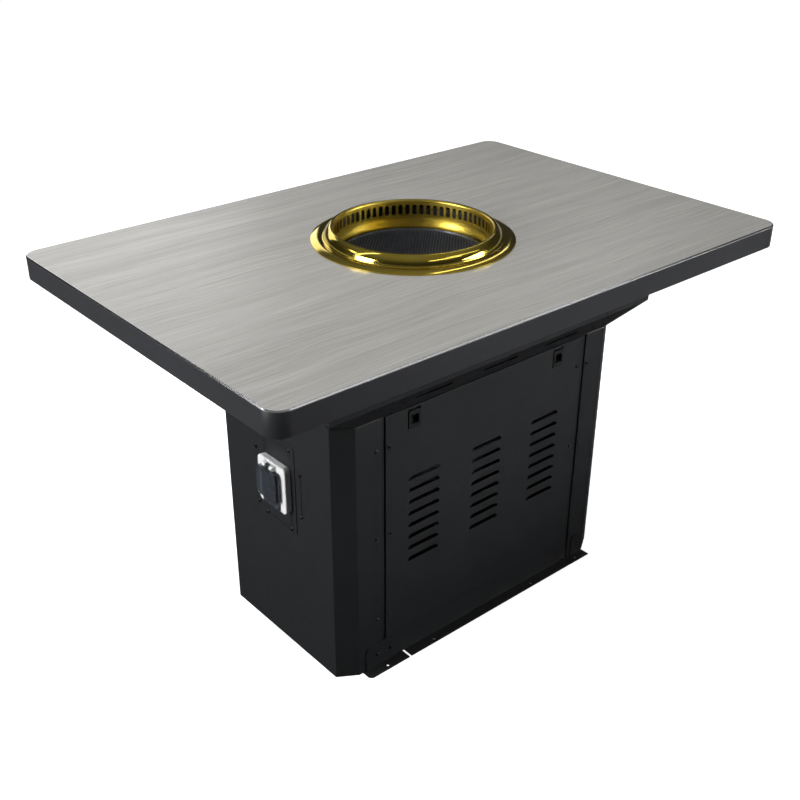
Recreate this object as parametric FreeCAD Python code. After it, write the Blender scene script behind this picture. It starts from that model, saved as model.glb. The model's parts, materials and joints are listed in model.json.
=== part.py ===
import FreeCAD, Part
import math
import os

from FreeCAD import Vector

# Smokeless barbecue table, in millimetres.
# The origin is on the floor under the middle of the tabletop, +X runs along the long side,
# the louvred service panel faces -Y, the switch box is on the -X end and +Z is up.

# Whole table
table_length = 1200.0
table_depth = 800.0
table_height = 750.0
top_corner_radius = 30.0

# Tabletop build-up
edge_height = 44.0
edge_band_thickness = 2.5
trim_bevel = 1.9
trim_rise = 0.4
laminate_thickness = 1.2
board_thickness = 25.0
edge_strip_width = 60.0
cutout_clearance = 2.0

# Common sheet metal, fits and cutters
sheet = 1.5
seat_gap = 0.3
pin_clearance = 0.05
cutter_overrun = 20.0

# Pedestal
pedestal_length = 716.0
pedestal_depth = 379.0
pedestal_centre_x = 4.0
chamfer_along = 38.0
chamfer_across = 24.0
door_opening_half = 267.5
jamb_recess = 3.0
jamb_edge_half = 254.5
jamb_lap = 28.0
stop_flange_width = 15.5
pan_lift = 3.0
pan_rim_height = 25.0

# Hood between the pedestal and the tabletop
hood_height = 204.0
hood_margin = 43.0
hood_flare_height = 52.0
hood_sheet = 2.0
hood_seam_left = 240.0
hood_seam_right = 275.0
hood_seam_gap = 0.8
hood_slot_spacing = 162.0
hood_slot_length = 88.0
hood_slot_height = 9.0
hood_slot_drop = 23.0
hood_hole_length = 8.0
hood_hole_height = 4.0
hood_hole_rise = 25.0
hood_hole_offset = 15.0

# Frame of square tube under the board
rail_width = 26.0
rail_height = 20.0
rail_wall = 2.0

# Grill ring
ring_flange_radius = 193.0
ring_inner_radius = 150.0
ring_rise = 25.0
ring_sheet = 2.0
ring_skirt_depth = 34.0
ring_bead_depth = 22.0
ring_bead_height = 3.0
ring_bead_step = 2.0
ring_slot_count = 68
ring_slot_width = 9.0
ring_slot_height = 21.0
ring_slot_drop = 10.0

# Exhaust jacket round the fire
jacket_radius = 176.0
jacket_rim_width = 10.0
jacket_depth = 165.0

# Fire bowl, its stand and the mesh over it
bowl_rim_radius = 143.5
bowl_mouth_radius = 129.0
bowl_floor_radius = 84.0
bowl_depth = 84.0
bowl_heel_share = 0.62
bowl_wall = 4.0
bowl_rim_thickness = 2.0
bowl_rim_drop = 34.5
bowl_vent_count = 12
bowl_vent_radius = 5.0
bowl_vent_height = 22.0
stand_radius = 151.0
stand_mouth_clearance = 6.0
stand_arch_count = 4
stand_arch_width = 90.0
stand_arch_height = 60.0
mesh_radius = 143.0
mesh_rim_width = 6.0
mesh_rim_height = 4.0
mesh_thickness = 1.6
mesh_pitch = 16.0
mesh_bar = 4.0

# Round duct from the jacket to the purifier
duct_radius = 70.0
duct_length = 65.0
duct_flange_width = 14.0

# Smoke purifier
purifier_length = 400.0
purifier_height = 190.0
purifier_front_room = 76.0
purifier_back_room = 53.0
ledge_width = 12.0
ledge_height = 40.0
cell_height = 110.0
cell_clearance = 1.0
cell_plate_count = 14
cell_plate_thickness = 1.5
cell_rod_radius = 4.0
cell_rod_inset = 30.0
cell_end_thickness = 6.0
tray_height = 20.0
tray_margin = 10.0
shelf_thickness = 2.0
shelf_flange_height = 30.0

# Centrifugal blower
blower_x = 52.5
blower_height = 100.0
scroll_start_radius = 90.0
scroll_growth = 15.0
scroll_mouth_room = 26.0
scroll_tongue = 8.0
inlet_radius = 60.0
impeller_radius = 80.0
impeller_height = 78.0
impeller_disc = 2.0
impeller_ring_width = 12.0
blade_count = 24
blade_length = 17.0
blade_thickness = 1.2
blade_sweep = 6.0
hub_radius = 16.0
hub_height = 34.0
shaft_radius = 5.0
shaft_hole_radius = 12.0
motor_radius = 50.0
motor_height = 80.0
motor_flange_radius = 68.0
motor_flange_thickness = 3.0
motor_rib_count = 16
motor_rib_width = 3.0
motor_rib_depth = 4.0

# Service panel in the pedestal front
panel_side_gap = 1.5
panel_top_gap = 2.0
panel_bottom = 55.0
panel_return = 12.0
louvre_rows = 8
louvre_pitch = 25.7
louvre_drop = 152.1
louvre_spacing = 160.0
louvre_length = 77.0
louvre_radius = 10.5
louvre_sheet = 1.2
stiffener_width = 24.0
stiffener_depth = 8.0
stiffener_foot = 22.0
stiffener_head = 24.0

# Slide latches in the panel
latch_offset = 187.0
latch_drop = 25.0
latch_opening_width = 30.0
latch_opening_height = 40.0
latch_side_gap = 2.6
latch_travel = 4.0
latch_fit = 0.4
latch_plate = 3.0
latch_pull_size = 18.0
latch_pull_side_margin = 4.0
latch_pull_lower_margin = 8.0
latch_tab = 2.0
latch_housing_wall = 1.6
latch_housing_depth = 9.0
latch_tail_width = 10.0
latch_tail_height = 3.0
latch_tail_reach = 24.0
latch_hook_drop = 5.0
header_height = 48.0
header_depth = 25.0

# Bottom rail and the floor fixings
floor_flange_reach = 24.0
floor_flange_thickness = 2.0
floor_flange_left = 207.0
floor_flange_right = 259.0
left_foot_inner = 212.0
left_foot_outer = 311.0
left_foot_corner = 6.0
right_foot_inner = 259.6
right_foot_outer = 316.0
right_foot_corner = 0.0
left_tab_inner = 229.0
left_tab_outer = 304.0
right_tab_inner = 280.0
right_tab_outer = 312.0
foot_tab_height = 54.0
foot_tab_radius = 12.0
foot_hole_radius = 3.0
foot_hole_edge = 9.0
left_foot_hole = 261.0
right_foot_hole = 282.0
rail_hole_half = 140.0

# Access plate on the left end
access_width = 108.0
access_height = 190.0
access_forward = 5.5
access_drop = 179.0
access_corner = 9.0
wiring_window = 70.0
control_box_width = 96.0
control_box_height = 125.0
control_box_depth = 54.0
control_box_corner = 6.0

# Weatherproof switch box
switch_width = 86.0
switch_height = 98.0
switch_depth = 13.0
switch_corner = 9.0
switch_edge_round = 2.5
gasket_thickness = 1.2
gasket_margin = 1.5
pocket_width = 54.0
pocket_height = 54.0
pocket_depth = 10.0
pocket_rise = 5.0
pocket_corner = 3.0
gland_radius = 7.0
gland_spacing = 34.0
module_fit = 0.5
module_depth = 12.0
rocker_width = 24.0
rocker_height = 36.0
rocker_pocket_depth = 9.0
rocker_fit = 1.2
rocker_angle = 7.0
rocker_waist = 2.2
rocker_rise = 4.2
rocker_root = 4.0
cover_width = 61.0
cover_height = 60.0
cover_depth = 12.3
cover_wall = 2.0
cover_corner = 5.0
cover_apron_width = 52.0
cover_apron_drop = 20.0
cover_apron_thickness = 3.0
hinge_pin_radius = 1.5
hinge_rise = 6.5
hinge_knuckle_radius = 4.0
hinge_knuckle_length = 13.0
hinge_knuckle_gap = 0.5
hinge_web_thickness = 5.6
hinge_boss_radius = 5.0
hinge_boss_length = 8.0

# Screws
screw_head_radius = 4.2
screw_head_height = 2.0
screw_shank_radius = 2.0
screw_length = 9.0
screw_clearance = 0.1
column_screw_half = 274.5
panel_screw_half = 245.5
side_screw_height = 111.0
side_screw_drop = 64.0
access_screw_inset = 15.0
access_screw_rise = 10.0
end_screw_offset = 15.0
end_screw_front_rises = (-44.0, 46.0)
end_screw_back_rises = (-75.0, 46.0)
foot_screw_offsets = (-276.0, -245.0, 300.0)
foot_screw_height = 30.0

# Places that follow from the sizes above
half_length = table_length / 2
half_depth = table_depth / 2
edge_bottom = table_height - edge_height
board_top = table_height - laminate_thickness
board_bottom = board_top - board_thickness
cutout_radius = jacket_radius + cutout_clearance

pedestal_height = table_height - hood_height
ped_x = pedestal_length / 2
ped_back = cutout_radius + rail_width + hood_sheet - hood_margin
ped_front = ped_back - pedestal_depth
pedestal_centre_y = (ped_front + ped_back) / 2
hood_x = ped_x + hood_margin
hood_front = ped_front - hood_margin
hood_back = ped_back + hood_margin
hood_shoulder = pedestal_height + hood_flare_height

jacket_floor = table_height - jacket_depth
purifier_top = jacket_floor - duct_length
purifier_bottom = purifier_top - purifier_height
purifier_front = ped_front + purifier_front_room
purifier_back = ped_back - purifier_back_room
shelf_bottom = purifier_bottom - shelf_thickness
blower_bottom = shelf_bottom - blower_height
blower_y = (purifier_front + purifier_back) / 2
scroll_reach = blower_y - ped_front - scroll_mouth_room
bowl_top = table_height - bowl_rim_drop
bowl_seat = bowl_top - bowl_rim_thickness
stand_top = bowl_seat - seat_gap

panel_half = jamb_edge_half - panel_side_gap
panel_top = pedestal_height - panel_top_gap
panel_inner = ped_front + sheet
panel_rear = ped_front + panel_return
latch_height = panel_top - latch_drop
stop_front = panel_rear + seat_gap
header_front = stop_front + sheet
header_bottom = pedestal_height - header_height
jamb_front = ped_front + jamb_recess
pan_top = pan_lift + sheet
side_screw_top = pedestal_height - side_screw_drop
side_screw_heights = (side_screw_height, (side_screw_height + side_screw_top) / 2, side_screw_top)

access_centre_y = pedestal_centre_y - access_forward
access_centre_z = pedestal_height - access_drop
end_face = -ped_x
plate_face = end_face - sheet
switch_face = plate_face - gasket_thickness - switch_depth
pocket_centre_z = access_centre_z + pocket_rise
rocker_x = switch_face + rocker_root
cover_back = switch_face - seat_gap
hinge_x = cover_back - hinge_knuckle_radius - seat_gap
cover_top = pocket_centre_z + cover_height / 2
hinge_z = cover_top + hinge_rise


def box(x0, x1, y0, y1, z0, z1):
    """A block between two corners."""
    return Part.makeBox(x1 - x0, y1 - y0, z1 - z0, Vector(x0, y0, z0))


def rod(start, direction, length, radius):
    """A round bar from a point along a direction."""
    return Part.makeCylinder(radius, length, Vector(*start), Vector(*direction))


def rounded_box(x0, x1, y0, y1, z0, z1, radius, axis):
    """A block with its four edges along one axis rounded."""
    block = box(x0, x1, y0, y1, z0, z1)
    edges = []
    for edge in block.Edges:
        run = edge.Vertexes[1].Point - edge.Vertexes[0].Point
        if abs(run.dot(axis)) > run.Length / 2:
            edges.append(edge)
    return block.makeFillet(radius, edges)


def prism(points, direction):
    """A flat polygon drawn out along a direction."""
    corners = [Vector(*point) for point in points]
    return Part.Face(Part.makePolygon(corners + corners[:1])).extrude(Vector(*direction))


def prism_z(points, z0, z1):
    """A plan outline drawn up from one height to another."""
    return prism([(x, y, z0) for x, y in points], (0, 0, z1 - z0))


def curved_wire(start, steps):
    """A closed wire; each step is an end point, or a point on an arc and its end point."""
    edges = []
    here = Vector(*start)
    for step in steps:
        end = Vector(*step[-1])
        if len(step) == 1:
            edges.append(Part.LineSegment(here, end).toShape())
        else:
            edges.append(Part.Arc(here, Vector(*step[0]), end).toShape())
        here = end
    if (here - Vector(*start)).Length > pin_clearance:
        edges.append(Part.LineSegment(here, Vector(*start)).toShape())
    return Part.Wire(edges)


def turned(start, steps):
    """A body of revolution about Z from (radius, height) points."""
    steps_3d = [[(r, 0, z) for r, z in step] for step in steps]
    face = Part.Face(curved_wire((start[0], 0, start[1]), steps_3d))
    return face.revolve(Vector(0, 0, 0), Vector(0, 0, 1), 360)


def turned_polygon(points):
    """A body of revolution about Z from straight (radius, height) runs."""
    return turned(points[0], [[point] for point in points[1:]])


def tube(outer, wall, z0, z1):
    """A round tube on the Z axis."""
    hollow = rod((0, 0, z0), (0, 0, 1), z1 - z0, outer - wall)
    return rod((0, 0, z0), (0, 0, 1), z1 - z0, outer).cut(hollow)


def obround_y(x, z, length, height, y0, y1):
    """A slot cutter through Y with its long side along X."""
    radius = height / 2
    reach = length / 2 - radius
    bar = box(x - reach, x + reach, y0, y1, z - radius, z + radius)
    for end in (x - reach, x + reach):
        bar = bar.fuse(rod((end, y0, z), (0, 1, 0), y1 - y0, radius))
    return bar


def folded(points, thickness, z0, z1):
    """A sheet folded along a plan path, with the metal on the left of the path."""
    inner = []
    for index, point in enumerate(points):
        before = points[max(index - 1, 0)]
        after = points[min(index + 1, len(points) - 1)]
        inner.append(mitre(before, point, after, thickness))
    return prism_z(points + inner[::-1], z0, z1)


def mitre(before, point, after, thickness):
    """The inner corner of a folded sheet beside one point of its path."""
    normals = []
    for a, b in ((before, point), (point, after)):
        run = math.hypot(b[0] - a[0], b[1] - a[1])
        if run > 0:
            normals.append(((a[1] - b[1]) / run, (b[0] - a[0]) / run))
    nx = sum(normal[0] for normal in normals)
    ny = sum(normal[1] for normal in normals)
    scale = thickness * len(normals) / (nx * nx + ny * ny)
    return (point[0] + nx * scale, point[1] + ny * scale)


def octagon(inset):
    """The pedestal's plan outline, drawn in by a distance."""
    x = ped_x - inset
    front = ped_front + inset
    back = ped_back - inset
    slant = math.hypot(chamfer_along, chamfer_across)
    cut_x = chamfer_along - inset * (chamfer_along + chamfer_across - slant) / chamfer_across
    cut_y = chamfer_across - inset * (chamfer_along + chamfer_across - slant) / chamfer_along
    return [
        (-x, front + cut_y), (-x + cut_x, front), (x - cut_x, front), (x, front + cut_y),
        (x, back - cut_y), (x - cut_x, back), (-x + cut_x, back), (-x, back - cut_y),
    ]


def mirrored(shape):
    """The same piece on the other side of the table."""
    return shape.mirror(Vector(0, 0, 0), Vector(1, 0, 0))


def screw_group(places, axis):
    """Pan-head screws, each a separate solid; axis points out of the head."""
    screws = []
    out = Vector(*axis)
    for place in places:
        seat = Vector(*place)
        head = Part.makeCylinder(screw_head_radius, screw_head_height, seat, out)
        rim = [edge for edge in head.Edges if (edge.CenterOfMass - seat).dot(out) > screw_head_height / 2]
        head = head.makeFillet(screw_head_height / 2, [edge for edge in rim if len(edge.Vertexes) == 1])
        shank = Part.makeCylinder(screw_shank_radius, screw_length, seat, out * -1)
        screws.append(head.fuse(shank))
    return Part.makeCompound(screws)


def screw_holes(places, axis):
    """Clearance holes for a group of screws, as a cutter."""
    out = Vector(*axis)
    radius = screw_shank_radius + screw_clearance
    length = screw_length + screw_length
    return Part.makeCompound([
        Part.makeCylinder(radius, length, Vector(*place) + out * (length / 2), out * -1)
        for place in places
    ])


def save(name, shape):
    """Write one sub-part."""
    shape.exportStep("parts/" + name + ".step")


def save_pedestal(name, shape):
    """Write one sub-part drawn about the pedestal's middle, which is beside the table's."""
    moved = shape.copy()
    moved.translate(Vector(pedestal_centre_x, 0, 0))
    save(name, moved)


def rounded_slab(inset, z0, z1):
    """The tabletop's outline drawn in by a distance, as a slab."""
    x = half_length - inset
    y = half_depth - inset
    return rounded_box(-x, x, -y, y, z0, z1, top_corner_radius - inset, Vector(0, 0, 1))


def make_tabletop():
    """Laminated board with a built-up edge, its edge band and its bevelled trim."""
    cutout = rod((0, 0, edge_bottom), (0, 0, 1), edge_height + cutter_overrun, cutout_radius)
    save("laminate_sheet", rounded_slab(edge_band_thickness, board_top, table_height).cut(cutout))
    save("table_board", rounded_slab(edge_band_thickness, board_bottom, board_top).cut(cutout))

    trim_bottom = table_height - trim_bevel - trim_rise
    core = rounded_slab(edge_band_thickness, edge_bottom, table_height)
    save("edge_band", rounded_slab(0, edge_bottom, trim_bottom).cut(core))
    trim = rounded_slab(0, trim_bottom, table_height)
    top_edges = [edge for edge in trim.Edges if edge.BoundBox.ZMin > table_height - trim_rise]
    save("edge_trim", trim.makeChamfer(trim_bevel, top_edges).cut(core))

    lower = rounded_slab(edge_band_thickness, edge_bottom, board_bottom)
    x = half_length - edge_band_thickness
    y = half_depth - edge_band_thickness
    inner_x = x - edge_strip_width
    inner_y = y - edge_strip_width
    save("edge_strip_front", lower.common(box(-x, x, -y, -inner_y, edge_bottom, board_bottom)))
    save("edge_strip_rear", lower.common(box(-x, x, inner_y, y, edge_bottom, board_bottom)))
    save("edge_strip_left", box(-x, -inner_x, -inner_y, inner_y, edge_bottom, board_bottom))
    save("edge_strip_right", box(inner_x, x, -inner_y, inner_y, edge_bottom, board_bottom))


def hollow_rail(x0, x1, y0, y1, along_x):
    """A rectangular tube under the board, open at both ends."""
    z0 = board_bottom - rail_height
    over = cutter_overrun if along_x else -rail_wall
    side = -rail_wall if along_x else cutter_overrun
    bore = box(x0 - over, x1 + over, y0 - side, y1 + side, z0 + rail_wall, board_bottom - rail_wall)
    return box(x0, x1, y0, y1, z0, board_bottom).cut(bore)


def make_top_rails():
    """Four tubes that carry the board on the hood."""
    x = hood_x - hood_sheet
    front = hood_front + hood_sheet
    back = hood_back - hood_sheet
    save("top_rail_front", hollow_rail(-x, x, front, front + rail_width, True))
    save("top_rail_rear", hollow_rail(-x, x, back - rail_width, back, True))
    side = (front + rail_width, back - rail_width)
    save("top_rail_left", hollow_rail(-x, -x + rail_width, side[0], side[1], False))
    save("top_rail_right", hollow_rail(x - rail_width, x, side[0], side[1], False))


def hood_body(inset):
    """Flare from the pedestal's chamfered outline to a square-cornered collar, as a solid."""
    x = hood_x - inset
    front = hood_front + inset
    back = hood_back - inset
    low = [Vector(pedestal_centre_x + px, py, pedestal_height) for px, py in octagon(inset)]
    high = [Vector(px, py, hood_shoulder) for px, py in ((-x, front), (x, front), (x, back), (-x, back))]
    rings = [
        (low[1], low[2], high[1], high[0]), (low[2], low[3], high[1]),
        (low[3], low[4], high[2], high[1]), (low[4], low[5], high[2]),
        (low[5], low[6], high[3], high[2]), (low[6], low[7], high[3]),
        (low[7], low[0], high[0], high[3]), (low[0], low[1], high[0]),
        tuple(low), tuple(high),
    ]
    faces = [Part.Face(Part.makePolygon(list(ring) + [ring[0]])) for ring in rings]
    flare = Part.Solid(Part.Shell(faces))
    if flare.Volume < 0:
        flare.reverse()
    collar = box(-x, x, front, back, hood_shoulder, board_bottom)
    return flare.fuse(collar).removeSplitter()


def make_hood():
    """Two folded end pieces and two middle covers, parted at the hood's seams."""
    shell = hood_body(0).cut(hood_body(hood_sheet))
    slot_z = hood_shoulder - hood_slot_drop
    for place in (-1, 0, 1):
        shell = shell.cut(obround_y(
            pedestal_centre_x + place * hood_slot_spacing, slot_z, hood_slot_length, hood_slot_height,
            hood_front - cutter_overrun, ped_front + cutter_overrun))
    hole_z = pedestal_height + hood_hole_rise
    for seam in (-hood_seam_left, hood_seam_right):
        for side in (-1, 1):
            shell = shell.cut(obround_y(
                seam + side * hood_hole_offset, hole_z, hood_hole_length, hood_hole_height,
                hood_front - cutter_overrun, ped_front + cutter_overrun))
    z0 = pedestal_height - cutter_overrun
    z1 = table_height
    left = -hood_seam_left
    right = hood_seam_right
    left_end = box(-hood_x, left - hood_seam_gap, hood_front, hood_back, z0, z1)
    right_end = box(right + hood_seam_gap, hood_x, hood_front, hood_back, z0, z1)
    save("hood_left_end", shell.common(left_end))
    save("hood_right_end", shell.common(right_end))
    save("hood_front_cover", shell.common(box(left, right, hood_front, pedestal_centre_y, z0, z1)))
    save("hood_rear_cover", shell.common(box(left, right, pedestal_centre_y, hood_back, z0, z1)))


# Section of the grill ring's visible skin from the flange's edge over the lip to the inner wall:
# share of the way out from the inner wall, share of the lip's height, direction of the metal
ring_outline_shares = (
    (1.0, 0.092, 270), (0.837, 0.19, 262), (0.628, 0.25, 268),
    (0.512, 0.2, 245), (0.456, 0.228, 225), (0.426, 0.34, 190),
    (0.372, 0.64, 203), (0.209, 0.928, 234),
    (0.149, 0.985, 252), (0.093, 1.0, 270), (0.025, 0.956, 315), (0.0, 0.84, 360),
)


def make_grill_ring():
    """Polished ring with a flange, a stepped collar, a rolled lip and a slotted smoke wall."""
    span = ring_flange_radius - ring_inner_radius
    skin = []
    back = []
    for out_share, rise_share, angle in ring_outline_shares:
        r = ring_inner_radius + out_share * span
        z = table_height + rise_share * ring_rise
        lean = math.radians(angle)
        skin.append((r, z))
        back.append((r + ring_sheet * math.cos(lean), z + ring_sheet * math.sin(lean)))
    back[0] = (ring_flange_radius, table_height + seat_gap)

    bead_top = table_height - ring_bead_depth
    bead_low = bead_top - ring_bead_height
    foot = table_height - ring_skirt_depth
    throat = ring_inner_radius - ring_bead_step
    down = [(ring_inner_radius, bead_top), (throat, bead_low), (throat, foot)]
    up = [(r + ring_sheet, z) for r, z in reversed(down)]

    steps = [
        [skin[1], skin[2]], [skin[3]], [skin[4], skin[5]], [skin[6]], [skin[7]],
        [skin[8], skin[9]], [skin[10], skin[11]],
    ]
    steps += [[point] for point in down + up + [back[11]]]
    steps += [
        [back[10], back[9]], [back[8], back[7]], [back[6]], [back[5]],
        [back[4], back[3]], [back[2]], [back[1], back[0]],
    ]
    ring = turned(skin[0], steps)

    slot_top = table_height + ring_rise - ring_slot_drop
    radius = ring_slot_width / 2
    low = slot_top - ring_slot_height + radius
    high = slot_top - radius
    start = ring_inner_radius - ring_sheet
    reach = ring_sheet + ring_sheet + ring_sheet
    cutter = box(start, start + reach, -radius, radius, low, high)
    for z in (low, high):
        cutter = cutter.fuse(rod((start, 0, z), (1, 0, 0), reach, radius))
    cutters = []
    for index in range(ring_slot_count):
        turned_cutter = cutter.copy()
        turned_cutter.rotate(Vector(0, 0, 0), Vector(0, 0, 1), 360 * index / ring_slot_count)
        cutters.append(turned_cutter)
    save("grill_ring", ring.cut(Part.makeCompound(cutters)))


def make_mesh_plate():
    """Round mesh with a turned-up rim that lies on the bowl's rim."""
    base = bowl_top + seat_gap
    rim = tube(mesh_radius, mesh_rim_width, base, base + mesh_rim_height)
    plate = rod((0, 0, base), (0, 0, 1), mesh_thickness, mesh_radius)
    clear = mesh_radius - mesh_rim_width - mesh_bar
    half_hole = (mesh_pitch - mesh_bar) / 2
    reach = int(mesh_radius / mesh_pitch) + 1
    top = base + mesh_thickness + mesh_rim_height
    holes = []
    for column in range(-reach, reach + 1):
        for row in range(-reach, reach + 1):
            x = column * mesh_pitch
            y = row * mesh_pitch
            if math.hypot(x, y) + math.hypot(half_hole, half_hole) < clear:
                holes.append(box(x - half_hole, x + half_hole, y - half_hole, y + half_hole,
                                 base - mesh_rim_height, top))
    cutter = Part.makeCompound(holes)
    cutter.rotate(Vector(0, 0, 0), Vector(0, 0, 1), 45)
    save("mesh_plate", plate.cut(cutter).fuse(rim).removeSplitter())


def make_fire_bowl():
    """Cast bowl with a flat rim, a rounded heel and a row of air holes."""
    outer = bowl_mouth_radius + bowl_wall
    floor = bowl_top - bowl_depth
    bulge = (outer + bowl_floor_radius) / 2 + bowl_wall
    middle = bowl_top - bowl_depth * bowl_heel_share
    bowl = turned((0, floor), [
        [(bowl_floor_radius, floor)],
        [(bulge, middle), (outer, bowl_seat)],
        [(bowl_rim_radius, bowl_seat)],
        [(bowl_rim_radius, bowl_top)],
        [(bowl_mouth_radius, bowl_top)],
        [(bulge - bowl_wall, middle + bowl_wall / 2), (bowl_floor_radius - bowl_wall, floor + bowl_wall)],
        [(0, floor + bowl_wall)],
    ])
    for index in range(bowl_vent_count):
        angle = 2 * math.pi * index / bowl_vent_count
        bowl = bowl.cut(rod((0, 0, floor + bowl_vent_height), (math.cos(angle), math.sin(angle), 0),
                            bowl_rim_radius, bowl_vent_radius))
    save("fire_bowl", bowl)


def make_bowl_stand():
    """Cylinder on the jacket's floor that holds the bowl by its rim, with arches for the air."""
    foot = jacket_floor + sheet
    mouth = bowl_mouth_radius + bowl_wall + stand_mouth_clearance
    stand = turned_polygon([
        (stand_radius - sheet, foot), (stand_radius, foot), (stand_radius, stand_top),
        (mouth, stand_top), (mouth, stand_top - sheet), (stand_radius - sheet, stand_top - sheet),
    ])
    half = stand_arch_width / 2
    arch_top = foot + stand_arch_height
    for index in range(stand_arch_count):
        arch = box(0, stand_radius + cutter_overrun, -half, half, foot, arch_top - half)
        arch = arch.fuse(rod((0, 0, arch_top - half), (1, 0, 0), stand_radius + cutter_overrun, half))
        arch.rotate(Vector(0, 0, 0), Vector(0, 0, 1), 45 + 360 * index / stand_arch_count)
        stand = stand.cut(arch.common(rod((0, 0, foot), (0, 0, 1), stand_arch_height,
                                          stand_radius + cutter_overrun)))
    save("bowl_stand", stand)


def make_exhaust_path():
    """Jacket that hangs in the table's cut-out by its rim, and the duct below it."""
    rim = jacket_radius + jacket_rim_width
    bore = duct_radius - sheet
    jacket = turned_polygon([
        (bore, jacket_floor), (jacket_radius, jacket_floor), (jacket_radius, table_height),
        (rim, table_height), (rim, table_height + laminate_thickness),
        (jacket_radius - sheet, table_height + laminate_thickness),
        (jacket_radius - sheet, jacket_floor + sheet), (bore, jacket_floor + sheet),
    ])
    save("exhaust_jacket", jacket)

    flange = duct_radius + duct_flange_width
    duct = turned_polygon([
        (bore, purifier_top), (flange, purifier_top), (flange, purifier_top + sheet),
        (duct_radius, purifier_top + sheet), (duct_radius, jacket_floor - sheet),
        (flange, jacket_floor - sheet), (flange, jacket_floor), (bore, jacket_floor),
    ])
    save("duct_collar", duct)


def make_purifier():
    """Open-fronted case with its smoke cell, oil tray and carrying shelf."""
    x = purifier_length / 2
    case = box(-x, x, purifier_front, purifier_back, purifier_bottom, purifier_top)
    case = case.cut(box(-x + sheet, x - sheet, purifier_front - cutter_overrun, purifier_back - sheet,
                        purifier_bottom + sheet, purifier_top - sheet))
    case = case.cut(rod((0, 0, purifier_top - cutter_overrun), (0, 0, 1),
                        cutter_overrun + cutter_overrun, duct_radius - sheet))
    eye = rod((blower_x, blower_y, shelf_bottom - cutter_overrun), (0, 0, 1),
              shelf_thickness + sheet + cutter_overrun + cutter_overrun, inlet_radius)
    case = case.cut(eye)
    ledge_z = purifier_bottom + ledge_height
    for side in (-1, 1):
        edges = sorted((side * (x - sheet), side * (x - sheet - ledge_width)))
        case = case.fuse(box(edges[0], edges[1], purifier_front, purifier_back - sheet,
                             ledge_z - sheet, ledge_z))
    save("purifier_case", case.removeSplitter())

    end_x = x - sheet - cell_clearance
    front = purifier_front + cell_clearance
    back = purifier_back - sheet - cell_clearance
    top = ledge_z + cell_height
    cell = box(-end_x, -end_x + cell_end_thickness, front, back, ledge_z, top)
    cell = cell.fuse(box(end_x - cell_end_thickness, end_x, front, back, ledge_z, top))
    pitch = (end_x + end_x - cell_end_thickness) / (cell_plate_count + 1)
    for index in range(1, cell_plate_count + 1):
        plate_x = -end_x + cell_end_thickness / 2 + index * pitch
        cell = cell.fuse(box(plate_x - cell_plate_thickness / 2, plate_x + cell_plate_thickness / 2,
                             front + cell_clearance, back - cell_clearance,
                             ledge_z + cell_clearance, top - cell_clearance))
    for y in (front + cell_rod_inset, back - cell_rod_inset):
        for z in (ledge_z + cell_rod_inset, top - cell_rod_inset):
            cell = cell.fuse(rod((-end_x, y, z), (1, 0, 0), end_x + end_x, cell_rod_radius))
    save("filter_cell", cell)

    tray_right = blower_x - inlet_radius - tray_margin
    tray_floor = purifier_bottom + sheet
    tray = box(-end_x, tray_right, front, back, tray_floor, tray_floor + tray_height)
    tray = tray.cut(box(-end_x + sheet, tray_right - sheet, front + sheet, back - sheet,
                        tray_floor + sheet, tray_floor + tray_height + cutter_overrun))
    save("oil_tray", tray)

    shelf_x = ped_x - sheet
    shelf = box(-shelf_x, shelf_x, purifier_front, purifier_back, shelf_bottom, purifier_bottom)
    low = purifier_bottom - shelf_flange_height
    for side in (-1, 1):
        edges = sorted((side * shelf_x, side * (shelf_x - shelf_thickness)))
        shelf = shelf.fuse(box(edges[0], edges[1], purifier_front, purifier_back, low, purifier_bottom))
    shelf = shelf.cut(screw_holes(end_screw_places(), (-1, 0, 0)))
    shelf.translate(Vector(pedestal_centre_x, 0, 0))
    save("purifier_shelf", shelf.cut(eye).removeSplitter())


def scroll_outline(inset, reach):
    """Spiral of four quarter arcs round the rotor that ends in a straight throat to the front."""
    half = scroll_growth / 2
    centres = ((half, -half), (half, half), (-half, half), (-half, -half))
    steps = []
    radius = scroll_start_radius - inset
    start = (blower_x + centres[0][0] - radius, blower_y + centres[0][1])
    for quarter, centre in enumerate(centres):
        radius = scroll_start_radius + quarter * scroll_growth - inset
        arc = []
        for angle in (225 + 90 * quarter, 270 + 90 * quarter):
            turn = math.radians(angle)
            arc.append((blower_x + centre[0] + radius * math.cos(turn),
                        blower_y + centre[1] + radius * math.sin(turn), 0))
        steps.append(arc)
    end = steps[-1][-1]
    mouth = blower_y - reach
    steps.append([(end[0], mouth, 0)])
    tongue = start[0] - scroll_tongue - inset - inset
    steps.append([(tongue, mouth, 0)])
    steps.append([(tongue, start[1] + inset, 0)])
    steps.append([(start[0], start[1] + inset, 0)])
    return Part.Face(curved_wire((start[0], start[1], 0), steps))


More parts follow.
